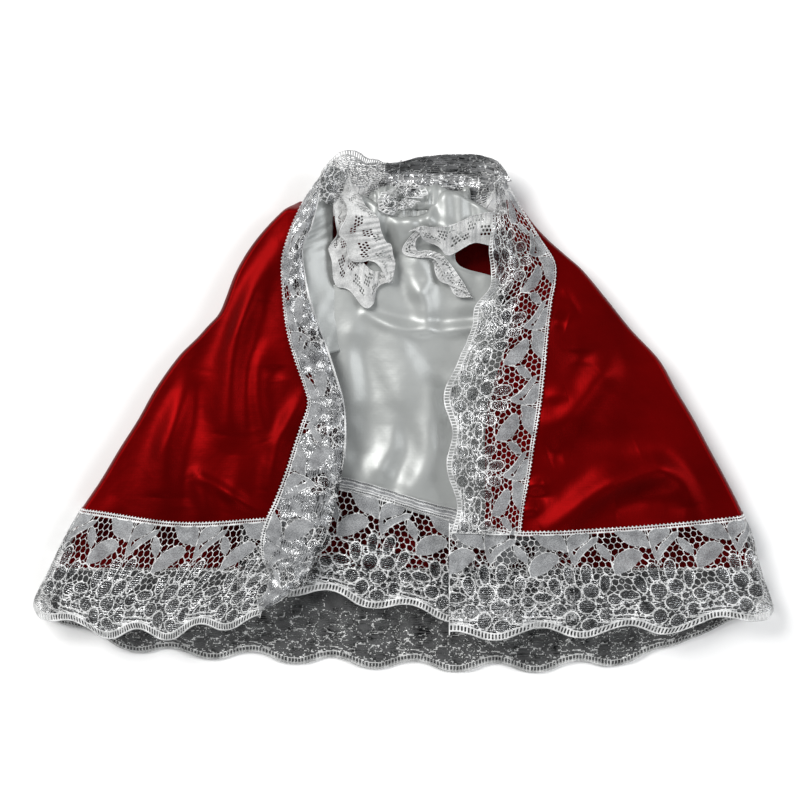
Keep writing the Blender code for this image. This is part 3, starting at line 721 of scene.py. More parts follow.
# a darker copy of the close tulle for the inside of the collar's back: painted shade
TULLE_COLLAR_PAINTED_SHADE = yarn("collar_lace_ground_painted_shade", (0.17, 0.172, 0.175), (0.34, 0.343, 0.35), 0.05, 0.6, 2300.0, 0.8,
                 alpha=(0.85, 1.0))
FRILL = yarn("frill_lace_ground", (0.40, 0.405, 0.405), (0.68, 0.685, 0.68), 0.0, 0.6, 1500.0, 1.0,
             alpha=(0.8, 1.0))
LUREX_PAINTED_SHADE = yarn("under_lace_lurex_painted_shade", (0.02, 0.021, 0.022), (0.34, 0.345, 0.34), 0.92, 0.2, 1100.0, 1.0)
TULLE_PAINTED_SHADE = yarn("under_lace_ground_painted_shade", (0.035, 0.035, 0.036), (0.075, 0.076, 0.078), 0.05, 0.6, 2300.0, 0.8,
                 alpha=(0.85, 1.0))
LACE = [THREAD, TULLE, LUREX]
LACE_PAINTED_SHADE = [THREAD_PAINTED_SHADE, TULLE_PAINTED_SHADE, LUREX_PAINTED_SHADE]
TAPE = yarn("cotton_tape", (0.40, 0.40, 0.385), (0.55, 0.55, 0.53), 0.0, 0.75, 900.0, 0.6)
ELASTIC = yarn("knitted_elastic", (0.40, 0.40, 0.39), (0.56, 0.56, 0.54), 0.0, 0.8, 1300.0, 0.8)
for m in (RED, RED_BACK_SHADED):
    m.node_tree.nodes["Principled BSDF"].inputs["Specular IOR Level"].default_value = 0.04

# =========================================================================================
# 5. The cape's satin
# =========================================================================================
ROLL_HALF = (FRONT_Z - 0.5) / 2
ROLL_MID = 0.5 + ROLL_HALF
LEFT_OUTLINE = [(-113.0, -188.0), (-103.5, -190.6), (-97.2, -191.2), (-81.6, -183.6),
                (-66.0, -176.3), (-50.4, -167.4), (-34.8, -157.0), (-19.2, -147.7),
                (-3.6, -137.8), (12.0, -129.0), (29.5, -116.5), (39.3, -106.7), (44.8, -101.8),
                (50.3, -96.6), (54.0, -94.4), (59.0, -92.4), (74.4, -86.3), (90.0, -76.4),
                (105.6, -61.9), (110.8, -53.6)]
RIGHT_OUTLINE = [(-113.0, 188.0), (-103.5, 191.8), (-97.2, 190.9), (-81.6, 185.6),
                 (-66.0, 182.0), (-50.4, 175.8), (-34.8, 168.0), (-19.2, 159.6),
                 (-3.6, 151.3), (12.0, 142.0), (27.6, 133.1), (43.2, 118.6),
                 (58.8, 106.1), (74.4, 93.1), (82.2, 84.2), (90.0, 75.4),
                 (97.8, 68.1), (112.3, 57.6)]
LEFT_EDGE = [(-56.0, -42.0), (-40.0, -40.6), (-14.0, -35.4), (6.8, -38.0), (32.8, -44.2),
             (58.8, -51.5), (84.8, -54.0), (104.0, -51.6)]
RIGHT_EDGE = [(-60.0, 44.2), (-34.8, 44.2), (-14.0, 44.2), (6.8, 46.3), (32.8, 54.6),
              (58.8, 59.8), (79.6, 59.8), (103.0, 56.0)]
HEM_LINE = [(-190.0, -50.0), (-168.0, -51.5), (-116.0, -57.7), (-72.0, -55.6), (-40.0, -53.5),
            (44.0, -60.0), (62.0, -62.4), (128.0, -59.3), (178.0, -54.6), (192.0, -52.0)]

# Folds: line, height, half width, all in millimetres
FOLDS = [
    (px([(278, 240), (265, 259), (253, 280), (244, 316), (237, 348), (233, 380), (231, 402),
         (227, 434)]), 5.6, 8.0),
    (px([(262, 300), (254, 340), (249, 390), (254, 430)]), -2.0, 6.5),
    (px([(262, 352), (258, 372), (257, 395), (261, 417), (268, 440)]), 2.4, 4.6),
    (px([(276, 366), (276, 380)]), -1.6, 5.0),
    (px([(304, 398), (289, 424), (280, 443), (275, 464), (270, 490)]), 3.2, 5.0),
    (px([(184, 368), (178, 400), (173, 432), (169, 464), (168, 496)]), 5.6, 11.0),
    (px([(200, 336), (191, 368), (196, 392), (193, 420), (185, 455), (183, 505)]), -3.0, 7.0),
    (px([(196, 476), (205, 496), (210, 518)]), 2.0, 5.0),
    (px([(199, 474), (226, 490), (258, 510)]), 2.2, 3.2),
    (px([(116, 496), (106, 512)]), 1.4, 6.0),
    (px([(240, 455), (238, 486), (232, 512)]), 1.6, 6.0),
    (px([(286, 262), (282, 300), (290, 340)]), 1.2, 6.0),
    (px([(539, 424), (558, 422), (573, 411), (584, 397), (597, 379), (611, 369), (627, 353)]), 4.2, 8.0),
    (px([(545, 398), (564, 392)]), 1.6, 4.0),
    (px([(542, 532), (566, 516), (586, 499), (608, 485), (633, 475), (653, 469), (671, 469),
         (684, 475), (691, 486), (695, 504)]), 6.4, 8.0),
    (px([(614, 504), (648, 502), (684, 504)]), -3.0, 9.0),
    (px([(574, 440), (600, 446), (632, 436)]), -2.2, 10.0),
    (px([(552, 320), (566, 324)]), -1.8, 4.4),
    (px([(563, 290), (577, 312)]), 1.2, 2.4),
    (px([(579, 350), (579, 366)]), -1.4, 6.0),
    (px([(548, 456), (560, 452)]), -1.5, 5.0),
    (px([(527, 486), (542, 482)]), 1.9, 2.8),
    (px([(521, 510), (536, 508)]), 1.6, 2.6),
    (px([(528, 497), (546, 496)]), -1.4, 2.4),
    (px([(596, 262), (634, 308), (664, 352), (680, 376)]), 5.2, 14.0),
    (px([(622, 322), (650, 362), (685, 415), (700, 450)]), 1.6, 5.0),
    (px([(712, 470), (716, 500)]), 1.6, 6.0),
]


def inward(side, x, y):
    (x0, y0), (x1, y1) = LEFT_AXIS if side == "left" else RIGHT_AXIS
    dx, dy = x1 - x0, y1 - y0
    return (dx * (y - y0) - dy * (x - x0)) / math.hypot(dx, dy)


def lift(x, y):
    """Height of the fronts' folds above their base."""
    x, y = np.asarray(x, float), np.asarray(y, float)
    high = np.zeros(np.broadcast(x, y).shape)
    for pts, tall, wide in FOLDS:
        fine = even(pts, 4 * len(pts))
        lo, hi = fine.min(0) - 3.2 * wide, fine.max(0) + 3.2 * wide
        near = (x > lo[0]) & (x < hi[0]) & (y > lo[1]) & (y < hi[1])
        if not near.any():
            continue
        xs, ys = x[near], y[near]
        best = np.full(xs.shape, 1e9)
        along = np.zeros(xs.shape)
        n = len(fine) - 1
        for k in range(n):
            (x0, y0), (x1, y1) = fine[k], fine[k + 1]
            dx, dy = x1 - x0, y1 - y0
            t = np.clip(((xs - x0) * dx + (ys - y0) * dy) / (dx * dx + dy * dy), 0, 1)
            d = np.hypot(xs - x0 - t * dx, ys - y0 - t * dy)
            closer = d < best
            best = np.where(closer, d, best)
            along = np.where(closer, (k + t) / n, along)
        fade = 0.35 + 0.65 * np.sin(np.pi * np.clip(along, 0, 1)) ** 0.6
        high[near] += tall * fade * bell(best / wide)
    ripple = (0.42 * np.sin(x * 0.13 + 0.03 * y + 1.3 * np.sin(y * 0.03)) * np.sin(y * 0.045 + x * 0.05)
              + 0.05 * np.sin(x * 0.43 + y * 0.19 + 2.0 * np.sin(x * 0.09)))
    depth = np.minimum(inward("left", x, y), inward("right", x, y))
    return (high + ripple + 2.6 * smooth(depth / 40.0)) * smooth((depth + 7.0) / 16.0)


def axis_x(side, y):
    (x0, y0), (x1, y1) = LEFT_AXIS if side == "left" else RIGHT_AXIS
    return x0 + (x1 - x0) * (y - y0) / (y1 - y0)


WRAP = math.pi * ROLL_HALF * 0.96


def wrap(side, q, y):
    """Point of the cape q mm inward of the top of the side roll, or round the roll if q < 0."""
    s = 1.0 if side == "left" else -1.0
    q, y = np.broadcast_arrays(np.asarray(q, float), np.asarray(y, float))
    edge = interp(LEFT_OUTLINE if side == "left" else RIGHT_OUTLINE, np.clip(y, -113.0, 112.0))
    e = np.minimum(3.4, 0.8 * np.abs(axis_x(side, y) - edge))
    e = np.maximum(e, 2.0)
    ang = np.pi / 2 + np.pi * np.clip(-q / WRAP, 0, 1)
    x = np.where(q >= 0, edge + s * (e + q), edge + s * (e + e * np.cos(ang)))
    z = np.where(q >= 0, FRONT_Z + lift(x, y), ROLL_MID + ROLL_HALF * np.sin(ang)
                 + lift(x, y) * np.clip(np.sin(ang), 0, 1))
    # gathered flat at the shoulder, where the neck seam joins front and back
    z = 1.6 + (z - 1.6) * (1.0 - 0.86 * smooth((y - 104.5) / 6.5) * smooth((18.0 - q) / 8.0))
    return np.stack([x, y, z], -1)


def top_of_roll(side, y):
    s = 1.0 if side == "left" else -1.0
    edge = interp(LEFT_OUTLINE if side == "left" else RIGHT_OUTLINE, np.clip(y, -113.0, 112.0))
    e = np.maximum(np.minimum(3.4, 0.8 * np.abs(axis_x(side, y) - edge)), 2.0)
    return edge + s * e


def hinge(side):
    """Start and end, in metres, of the cloth's turn from the cape's back to a front."""
    (x0, y0), (x1, y1) = LEFT_AXIS if side == "left" else RIGHT_AXIS
    dx, dy = x1 - x0, y1 - y0
    L = math.hypot(dx, dy)
    nx, ny = -dy / L, dx / L
    mx, my = (x0 + x1) / 2, (y0 + y1) / 2
    return ((mx * MM, my * MM, FOLD_Z * MM),
            ((mx + nx * 18) * MM, (my + ny * 18) * MM, FOLD_Z * MM))


made = {}
for side in ("left", "right"):
    s = 1.0 if side == "left" else -1.0
    edge_rows = LEFT_EDGE if side == "left" else RIGHT_EDGE
    top = 110.5 if side == "left" else 111.5
    v, t = np.meshgrid(np.linspace(0, 1, 190), np.linspace(0, 1, 210), indexing="ij")
    y = top + (-56.0 - top) * v
    inner = interp(edge_rows, y) + s * 2.0
    flat = np.maximum(s * (inner - top_of_roll(side, y)), 1.0)
    q = -WRAP + (flat + WRAP) * t
    x = top_of_roll(side, y) + s * q
    low = interp(HEM_LINE, np.clip(x, -190, 192)) - 1.4
    y = top + (low - top) * v
    inner = interp(edge_rows, y) + s * 2.0
    flat = np.maximum(s * (inner - top_of_roll(side, y)), 1.0)
    q = -WRAP + (flat + WRAP) * t
    P = wrap(side, q, y)
    ob = closed_sheet("%s_front_satin" % side, P, 0.35, RED)
    made[side + "_satin"] = ob

# back of the cape, lying on the floor, with shallow slack folds
v, t = np.meshgrid(np.linspace(0, 1, 130), np.linspace(0, 1, 220), indexing="ij")
y = 103.0 - (103.0 + 83.0) * v
xl, xr = top_of_roll("left", y) - 1.5, top_of_roll("right", y) + 1.5
x = xl + (xr - xl) * t
y = y + 1.6 * smooth((np.abs(t - 0.5) - 0.2) / 0.3) * (1 - v)
rim = smooth(np.minimum(t, 1 - t) / 0.03)
z = 1.15 + rim * (-0.45 + 0.25 * np.sin(x * 0.09 + 0.7 * np.sin(y * 0.05))
                  + 0.15 * np.sin(x * 0.21 + y * 0.1))
made["back_satin"] = closed_sheet("cape_back_satin", np.stack([x, y, z], -1), 0.3, RED_BACK_SHADED)

# =========================================================================================
# 6. The lace on the cape
# =========================================================================================
HEM_END = {"left": [(-191.0, -104.0), (-172.0, -112.0), (-145.0, -116.6), (-124.0, -117.0),
                    (-106.0, -116.6), (-84.0, -113.0), (-60.0, -110.0), (-35.0, -108.0)],
           "right": [(30.0, -118.0), (60.0, -116.0), (90.0, -115.8), (110.0, -115.0),
                     (132.0, -114.4), (155.0, -111.5), (180.0, -108.0), (192.0, -105.5)]}
for side in ("left", "right"):
    s = 1.0 if side == "left" else -1.0
    n, m = 70, 22
    v, t = np.meshgrid(np.linspace(0, 1, m), np.linspace(0, 1, n))
    if side == "right":
        t = 1.0 - t
    top_x = top_of_roll(side, -60.0)
    end_x = -46.0 if side == "left" else 23.5
    reach = s * (end_x - top_x)
    q0 = -WRAP + (reach + WRAP) * t
    x0 = top_of_roll(side, -60.0) + s * q0
    start = interp(HEM_LINE, np.clip(x0, -190, 192)) + 1.2
    end = interp(HEM_END[side], np.clip(top_of_roll(side, -100.0) + s * (q0 * 1.08), -191, 192))
    y = start + (end - start) * v
    # the left lace is turned back on a slant at its inner end
    end_row = end_x - (28.0 * smooth((v - 0.05) / 0.95) if side == "left" else 0.0)
    flat = s * (end_row - top_of_roll(side, y))
    q = np.where(q0 < 0, q0, q0 * flat / reach)
    P = wrap(side, q, y)
    # the lace stands a little off the satin and ripples as it is gathered on
    ripple = (0.55 * np.sin(2 * np.pi * (q0 * 1.2) / 17.0) + 0.3 * np.sin(q0 * 0.83 + 1.0)) * v ** 0.8
    ang = np.pi / 2 + np.pi * np.clip(-q / WRAP, 0, 1)
    out = np.stack([s * np.cos(ang) * (q < 0), np.zeros_like(q), np.where(q < 0, np.sin(ang), 1.0)], -1)
    P = P + out * (0.55 + 0.5 * np.maximum(ripple, -0.6))[..., None]
    P[..., 2] = np.maximum(P[..., 2], 1.25)
    if side == "right":
        # its inner end is turned over the edge lace
        P[..., 2] += 2.4 * smooth((70.0 - P[..., 0]) / 12.0) * (0.8 + 0.2 * np.cos(P[..., 0] * 0.5))
    path = reach + WRAP
    scale = 1.20 if side == "left" else 1.0
    surf = Surface(P)
    length = path * scale
    phase = 38.3 if side == "left" else (21.0 - (86.3 - 23.5)) % 42.0
    ob = lace("%s_hem_lace" % side, surf, length, cell=0.37, phase=phase, mats=LACE, seed=3,
              face=1.0 if np.mean(surf.normal(np.array([0.5]), np.array([0.5]))[0][2]) > 0 else -1.0)
    made[side + "_hem"] = ob

# back hem lace, flat on the floor, in the darker lace copies and with a near-black backing net in its holes:
# painted shade
BACK_END = [(-190.0, -105.0), (-172.0, -114.0), (-150.0, -123.0), (-120.0, -128.0),
            (-80.0, -129.5), (-40.0, -132.5), (0.0, -134.5), (30.0, -135.6), (60.0, -136.0),
            (90.0, -135.0), (120.0, -131.0), (138.0, -126.5), (152.0, -118.0), (170.0, -112.0),
            (190.0, -107.5)]
v, t = np.meshgrid(np.linspace(0, 1, 14), np.linspace(0, 1, 100))
y = -81.5 - 50.0 * v
xl = top_of_roll("left", y)
xr = top_of_roll("right", y)
x = xl + (xr - xl) * t
end = interp(BACK_END, x)
y = -81.5 + (end + 81.5) * v
z = 1.5 + 0.5 * v * np.sin(x * 0.16 + 0.6 * np.sin(x * 0.05)) + 0.2 * np.sin(x * 0.37) * v
surf = Surface(np.stack([x, y, z], -1))
made["back_hem"] = lace("back_hem_lace", surf, 352.0 * 1.04, cell=0.41, phase=23.8, mats=LACE_PAINTED_SHADE,
                        backed=lambda u_, v_: np.minimum(v_ - 1.2, 51.2 - v_ + 2.7 * np.cos(
                            2 * math.pi * (u_ + 23.8 - 24.0) / REPEAT)) + 0.0 * u_,
                        seed=5, face=-1.0)

# edge laces
LEFT_OUT = px([(322, 176), (309, 194), (300, 210), (290, 234), (283, 262), (284, 296), (288, 330),
               (296, 360), (305, 386), (309, 404), (302, 426), (294, 450), (287, 472), (277, 498),
               (267, 520), (262, 540), (264, 558), (270, 572), (268, 588), (258, 600)])
LEFT_IN = px([(336, 163), (323, 182), (318, 204), (312, 228), (303, 250), (307, 284), (316, 318),
              (328, 350), (337, 378), (344, 404), (346, 432), (345, 458), (341, 486), (335, 512),
              (326, 540), (314, 564), (300, 584), (284, 597), (270, 605), (260, 610)])
RIGHT_OUT = px([(502, 176), (511, 194), (523, 214), (538, 238), (553, 262), (554, 282), (550, 304),
                (546, 338), (543, 370), (539, 404), (533, 440), (528, 474), (522, 506), (520, 522),
                (519, 534)])
RIGHT_IN = px([(494, 184), (493, 204), (488, 224), (487, 246), (490, 268), (484, 288), (470, 306),
               (472, 326), (464, 342), (450, 358), (445, 384), (443, 414), (444, 446), (448, 478),
               (450, 506), (450, 520), (450, 532)])


def ribbon(out, inn, fold, n=120, m=36, top=1.3, puff=None):
    """Surface of an edge lace from its heading to its free edge, turned under by fold."""
    a, b = even(out, n), even(inn, n)
    u = np.linspace(0, 1, n)[:, None]
    w = np.linspace(0, 1, m)[None]
    if fold:
        share = 1.0 - fold
        over = np.clip(w / share, 0, 1)
        back = np.clip((w - share) / fold, 0, 1)
        at = over - 0.86 * back
        under = smooth(back * 6.0)
    else:
        at = w + 0.0 * u
        under = np.zeros_like(at)
    at = at + 0.0 * u
    under = under + 0.0 * u
    x = a[:, :1] + (b[:, :1] - a[:, :1]) * at
    y = a[:, 1:] + (b[:, 1:] - a[:, 1:]) * at
    wave = (0.55 * np.sin(2 * np.pi * u * 15 + 4 * at) + 0.35 * np.sin(2 * np.pi * u * 37 + 7 * at))
    z = FRONT_Z + lift(x, y) + top + (0.9 + 0.5 * wave) * smooth(at * 3) * (1 - 0.9 * under)
    z = z - 0.85 * under
    if puff is not None:
        z = z + puff(u, at) * (1 - under)
    return Surface(np.stack([x, y, z], -1)), float(np.linalg.norm(np.diff(a, axis=0), axis=1).sum())


def left_puff(u, at):
    return 2.2 * bell((at - 0.75) / 0.3) * smooth(u * 8) + 1.2 * np.sin(2 * np.pi * u * 6.5) * at * smooth(u * 4)


def right_puff(u, at):
    pinch = bell((u - 0.24) / 0.09)
    return (3.0 * bell((at - 0.45 - 0.1 * np.sin(u * 17)) / 0.22) * smooth(u * 6)
            + pinch * 2.2 * np.sin(at * 22.0) + 1.0 * np.sin(2 * np.pi * u * 7.0 + 2 * at) * at)


surf, along = ribbon(LEFT_OUT, LEFT_IN, 0.42, puff=left_puff)
made["left_edge"] = lace("left_edge_lace", surf, along * 1.12, cell=0.38, phase=6.0, mats=LACE,
                         backed=lambda u_, v_: np.minimum(
                             np.minimum(v_ - 2.3, 30.0 - v_),
                             3.0 * (np.sin(u_ * 0.23 + 0.6) + 0.55 + 0.5 * np.sin(v_ * 0.5 + u_ * 0.11))),
                         seed=7, face=1.0 if surf.normal(np.array([0.5]), np.array([0.2]))[0][2] > 0 else -1.0)
surf, along = ribbon(RIGHT_OUT, RIGHT_IN, 0.0, puff=right_puff)
made["right_edge"] = lace("right_edge_lace", surf, along * 1.06, cell=0.36, phase=30.0, mats=LACE,
                          seed=9, reverse=True,
                          face=1.0 if surf.normal(np.array([0.5]), np.array([0.2]))[0][2] > 0 else -1.0)

# collar: its sewn edge, two rows between and its free edge
COLLAR = [
    [(-43.2, 109.5, 17.2), (-40.5, 108.5, 17.2), (-37.0, 107.5, 16.6), (-32.0, 106.5, 13.5),
     (-27.5, 105.0, 8.0), (-24.0, 104.0, 3.2), (-15.0, 104.0, 1.75), (0.0, 104.0, 1.75),
     (18.0, 104.0, 1.75), (32.0, 104.0, 1.75), (40.5, 105.0, 3.2), (44.0, 107.0, 9.0),
     (46.5, 109.5, 14.5), (48.5, 112.0, 17.4)],
    [(-43.2, 115.0, 18.6), (-40.5, 115.3, 19.4), (-37.0, 115.5, 19.6), (-31.5, 116.0, 17.0),
     (-27.0, 117.0, 11.0), (-23.5, 118.0, 5.4), (-15.0, 118.0, 2.4), (0.0, 118.0, 2.4),
     (18.0, 118.0, 2.4), (32.0, 118.0, 2.4), (40.5, 117.5, 4.4), (44.5, 117.0, 10.5),
     (48.0, 116.5, 16.5), (50.5, 116.0, 18.6)],
    [(-43.0, 120.0, 19.8), (-39.0, 122.5, 21.8), (-34.5, 124.0, 22.0), (-29.0, 126.0, 20.0),
     (-24.0, 127.0, 15.0), (-19.0, 127.0, 9.0), (-12.0, 127.5, 4.6), (0.0, 127.5, 3.6),
     (18.0, 127.5, 3.6), (32.0, 127.2, 4.2), (41.0, 126.0, 7.0), (46.5, 123.5, 13.0),
     (50.5, 121.0, 17.5), (52.5, 118.5, 18.8)],
    [(-42.0, 125.0, 20.0), (-37.0, 130.5, 22.5), (-30.0, 134.8, 24.0), (-22.4, 136.6, 24.0),
     (-15.5, 133.8, 19.0), (-9.4, 130.0, 13.0), (-1.6, 130.5, 10.5), (8.8, 133.0, 11.5),
     (24.4, 134.2, 13.5), (38.0, 133.8, 15.0), (47.5, 131.0, 16.5), (51.5, 127.0, 18.0),
     (54.0, 123.0, 18.6), (56.0, 119.5, 18.6)],
]
rows = np.stack([even(r, 160) for r in COLLAR])
fine = np.stack([catmull(rows[:, j], np.linspace(0, 1, 16)) for j in range(160)])
split = 66
# the collar's back takes the darker tulle, and its holes are closed with it: painted shade
for key, part, tone, seed in (("collar", fine[:split + 6], LACE, 11), ("collar_back", fine[split - 6:], [THREAD, TULLE_COLLAR_PAINTED_SHADE, LUREX], 12)):
    part = part.copy()
    k = len(part)
    u = np.linspace(0, 1, k)[:, None]
    w = np.linspace(0, 1, 16)[None]
    if key == "collar":
        part[..., 2] += (1.0 * np.sin(2 * np.pi * u * 4.5) + 0.6 * np.sin(2 * np.pi * u * 12 + 2)) * w
    else:
        part[..., 2] += (0.5 * np.sin(2 * np.pi * u * 5) + 0.35 * np.sin(2 * np.pi * u * 13 + 2)) * w
        part[..., 2] += 1.1 * np.sin(w * 17.0 + u * 3.0) * smooth(w * 3) * smooth((1 - w) * 4) * 0.6
        part = part[:, ::-1]
    surf = Surface(part)
    along = float(np.linalg.norm(np.diff(part[:, 8], axis=0), axis=1).sum())
    up = 1.0 if surf.normal(np.array([0.5]), np.array([0.3]))[0][2] > 0 else -1.0
    made[key] = lace(key.replace("collar", "collar_lace"), surf, along * (1.15 if key == "collar" else 1.05),
                     cell=0.34, phase=10.0, v_lo=20.0 if key == "collar" else 24.0, mats=tone, seed=seed, face=up,
                     backed=None if key == "collar" else (lambda u_, v_: 47.5 - v_ + 0.0 * u_))

# =========================================================================================
# 7. The tunic
# =========================================================================================
T_LEFT = [(-60.0, -86.0), (-33.0, -79.0), (0.0, -63.0), (30.0, -52.0), (50.0, -50.0), (60.0, -46.0),
          (66.0, -37.0), (72.0, -25.0), (80.0, -17.0), (90.0, -15.0), (96.0, -17.0), (99.8, -22.0), (106.0, -26.0), (116.0, -28.0)]
T_RIGHT = [(-60.0, 90.0), (-33.0, 83.0), (0.0, 67.0), (30.0, 55.0), (50.0, 52.0), (62.0, 50.0),
           (69.0, 49.5), (72.0, 44.0), (74.5, 34.0), (77.0, 29.0), (82.0, 27.0), (87.0, 29.0),
           (92.0, 38.0), (96.0, 44.0), (99.8, 46.0), (106.0, 44.0), (117.0, 36.0)]
T_HEM = [(-88.0, -32.0), (-30.0, -41.0), (24.0, -56.5), (60.0, -60.0), (92.0, -58.0)]
T_LACE_END = [(-95.0, -90.0), (-55.0, -95.0), (-40.0, -95.5), (-26.0, -98.5), (-13.0, -100.5),
              (3.0, -103.0), (18.0, -106.5), (28.0, -108.0), (60.0, -112.0), (97.0, -110.0)]
T_FOLDS = [
    (px([(366, 312), (384, 322), (410, 329), (440, 330), (474, 327)]), 1.3, 2.4),
    (px([(366, 306), (384, 315), (410, 321), (440, 322), (474, 319)]), -0.9, 3.2),
    (px([(398, 226), (404, 258), (414, 286), (424, 300), (428, 322)]), 1.5, 3.4),
    (px([(420, 262), (428, 280), (420, 292)]), 1.0, 3.0),
    (px([(390, 236), (402, 262), (404, 290), (410, 310)]), -1.1, 4.5),
    (px([(436, 276), (442, 300), (440, 318)]), -0.8, 5.0),
    (px([(395, 340), (404, 368), (402, 398)]), 1.3, 9.0),
    (px([(360, 352), (366, 400), (364, 452)]), -1.7, 8.0),
    (px([(436, 392), (430, 430), (424, 466), (410, 486)]), 1.7, 5.5),
    (px([(380, 468), (392, 448), (396, 424)]), 1.5, 4.5),
    (px([(398, 424), (404, 452), (396, 486)]), -1.5, 5.5),
    (px([(352, 336), (350, 372), (354, 400)]), 1.2, 4.5),
    (px([(418, 352), (436, 372), (444, 392)]), -1.0, 6.5),
    (px([(326, 262), (322, 288), (318, 310)]), 1.2, 3.0),
    (px([(420, 210), (440, 228), (462, 236)]), 1.4, 3.4),
]


def t_lift(x, y):
    high = np.zeros(np.broadcast(x, y).shape)
    for pts, tall, wide in T_FOLDS:
        fine = even(pts, 4 * len(pts))
        best = seg_dist(x, y, fine)
        high += tall * bell(best / (1.35 * wide))
    gather = smooth((y - 62.0) / 38.0)
    fan = (x - 9.0) / (30.0 + 0.0 * y)
    high += gather * (0.5 * np.sin(fan * 9.0 + 0.6 + 0.02 * y) + 0.3 * np.sin(fan * 21.0 + y * 0.05))
    high += 0.22 * np.sin(x * 0.17 + 0.8 * np.sin(y * 0.06)) + 0.12 * np.sin(x * 0.37 + y * 0.23)
    return 1.7 * high


# top of the front satin: it spreads over the gathered casing on both sides of the middle
CROWN = [(-28.0, 113.5), (-20.0, 113.0), (-13.0, 109.5), (-8.0, 104.0), (2.0, 102.0), (11.0, 103.5),
         (17.0, 109.5), (25.0, 115.0), (33.0, 115.5), (39.0, 111.0), (46.0, 104.0)]


def rise(y):
    """How much the tunic's front climbs to pass over its neck casing."""
    return 5.8 * smooth((y - 82.0) / 17.0)


def tunic_grid(front, n=150, m=120):
    v, t = np.meshgrid(np.linspace(0, 1, n), np.linspace(0, 1, m), indexing="ij")
    low = interp(T_HEM, interp(T_LEFT, -45.0) + (interp(T_RIGHT, -45.0) - interp(T_LEFT, -45.0)) * t)
    crown = interp(CROWN, -26.0 + 71.0 * t) if front else np.full(t.shape, 99.8)
    y = crown + (low - crown) * v
    x = interp(T_LEFT, y) + (interp(T_RIGHT, y) - interp(T_LEFT, y)) * t
    closed = smooth((56.0 - y) / 14.0)
    drop = np.maximum(0.0, 1.0 - np.minimum(t, 1 - t) / 0.06)
    drop = (1.0 - np.sqrt(np.maximum(0.0, 1.0 - drop * drop))) * closed
    if front:
        z = 9.9 - drop * 3.0 + t_lift(x, y) * smooth(np.minimum(t, 1 - t) / 0.12)
        z = z + rise(y) - 4.5 * np.clip(1.0 - (crown - y) / 3.5, 0.0, 1.0) ** 2
        fan = np.arctan2(x + 3.0, 118.0 - y)
        z = z + 0.55 * smooth((y - 76.0) / 22.0) * np.sin(fan * 9.0 + 0.8 * np.sin(fan * 4.0 + y * 0.1))
    else:
        z = 2.9 + drop * 3.0 + 0.25 * np.sin(x * 0.13 + y * 0.05)
    return np.stack([x, y, z], -1)


made["tunic_front"] = closed_sheet("tunic_front_satin", tunic_grid(True), 0.35, WHITE)
made["tunic_back"] = closed_sheet("tunic_back_satin", tunic_grid(False, 80, 70), 0.35, WHITE)

for front in (True, False):
    n, m = 60, 16
    v, t = np.meshgrid(np.linspace(0, 1, m), np.linspace(0, 1, n))
    x0 = interp(T_LEFT, -45.0) + (interp(T_RIGHT, -45.0) - interp(T_LEFT, -45.0)) * t
    start = interp(T_HEM, x0) + 1.5
    end = interp(T_LACE_END, x0)
    y = start + (end - start) * v
    x = x0 * (1.0 + 0.05 * v) - 12.0 * (v - 0.33) * smooth(np.minimum(t, 1 - t) / 0.2)
    drop = np.maximum(0.0, 1.0 - np.minimum(t, 1 - t) / 0.06)
    drop = 1.0 - np.sqrt(np.maximum(0.0, 1.0 - drop * drop))
    if front:
        z = 10.6 - drop * 3.2 + 0.45 * np.sin(x * 0.22) * v
    else:
        z = 3.6 + drop * 2.4 + 0.3 * np.sin(x * 0.19) * v
    surf = Surface(np.stack([x, y, z], -1))
    name = "tunic_%s_hem" % ("front" if front else "back")
    # the tunic's back hem lace takes the darker lace copies: painted shade
    made[name] = lace("lower_" + name + "_lace", surf, 176.0, cell=0.37 if front else 0.8,
                      phase=30.8, mats=LACE if front else LACE_PAINTED_SHADE, seed=13, face=-1.0)
    if front:
        n = 60
        v, t = np.meshgrid(np.linspace(0, 1, 5), np.linspace(0, 1, n))
        x0 = interp(T_LEFT, -45.0) + (interp(T_RIGHT, -45.0) - interp(T_LEFT, -45.0)) * t
        y = interp(T_HEM, x0) + 7.4 - 6.2 * v
        drop = np.maximum(0.0, 1.0 - np.minimum(t, 1 - t) / 0.06)
        drop = 1.0 - np.sqrt(np.maximum(0.0, 1.0 - drop * drop))
        z = 11.1 + t_lift(x0, y) * 0.8 - drop * 3.2
        surf = Surface(np.stack([x0, y, z], -1))
        made["tunic_tape"] = lace("tunic_hem_heading", surf, 175.0, kind="tape", width=6.2,
                                  cell=0.26, phase=3.0, mats=LACE, seed=19, face=-1.0)


# gathered neck: casing round the flattened opening, elastic inside it, and its frill
def neck_ring(share, out, y):
    h, r = 26.0 - 5.2, 5.2
    total = 4 * h + 2 * math.pi * r
    d = (share % 1.0) * total
    if d < 2 * h:
        x, z, nx, nz = -h + d, r, 0.0, 1.0
    elif d < 2 * h + math.pi * r:
        a = math.pi / 2 - (d - 2 * h) / r
        nx, nz = math.cos(a), math.sin(a)
        x, z = h + r * nx, r * nz
    elif d < 4 * h + math.pi * r:
        x, z, nx, nz = h - (d - 2 * h - math.pi * r), -r, 0.0, -1.0
    else:
        a = -math.pi / 2 - (d - 4 * h - math.pi * r) / r
        nx, nz = math.cos(a), math.sin(a)
        x, z = -h + r * nx, r * nz
    return (9.0 + x + nx * out, y, 7.8 + z + nz * out)


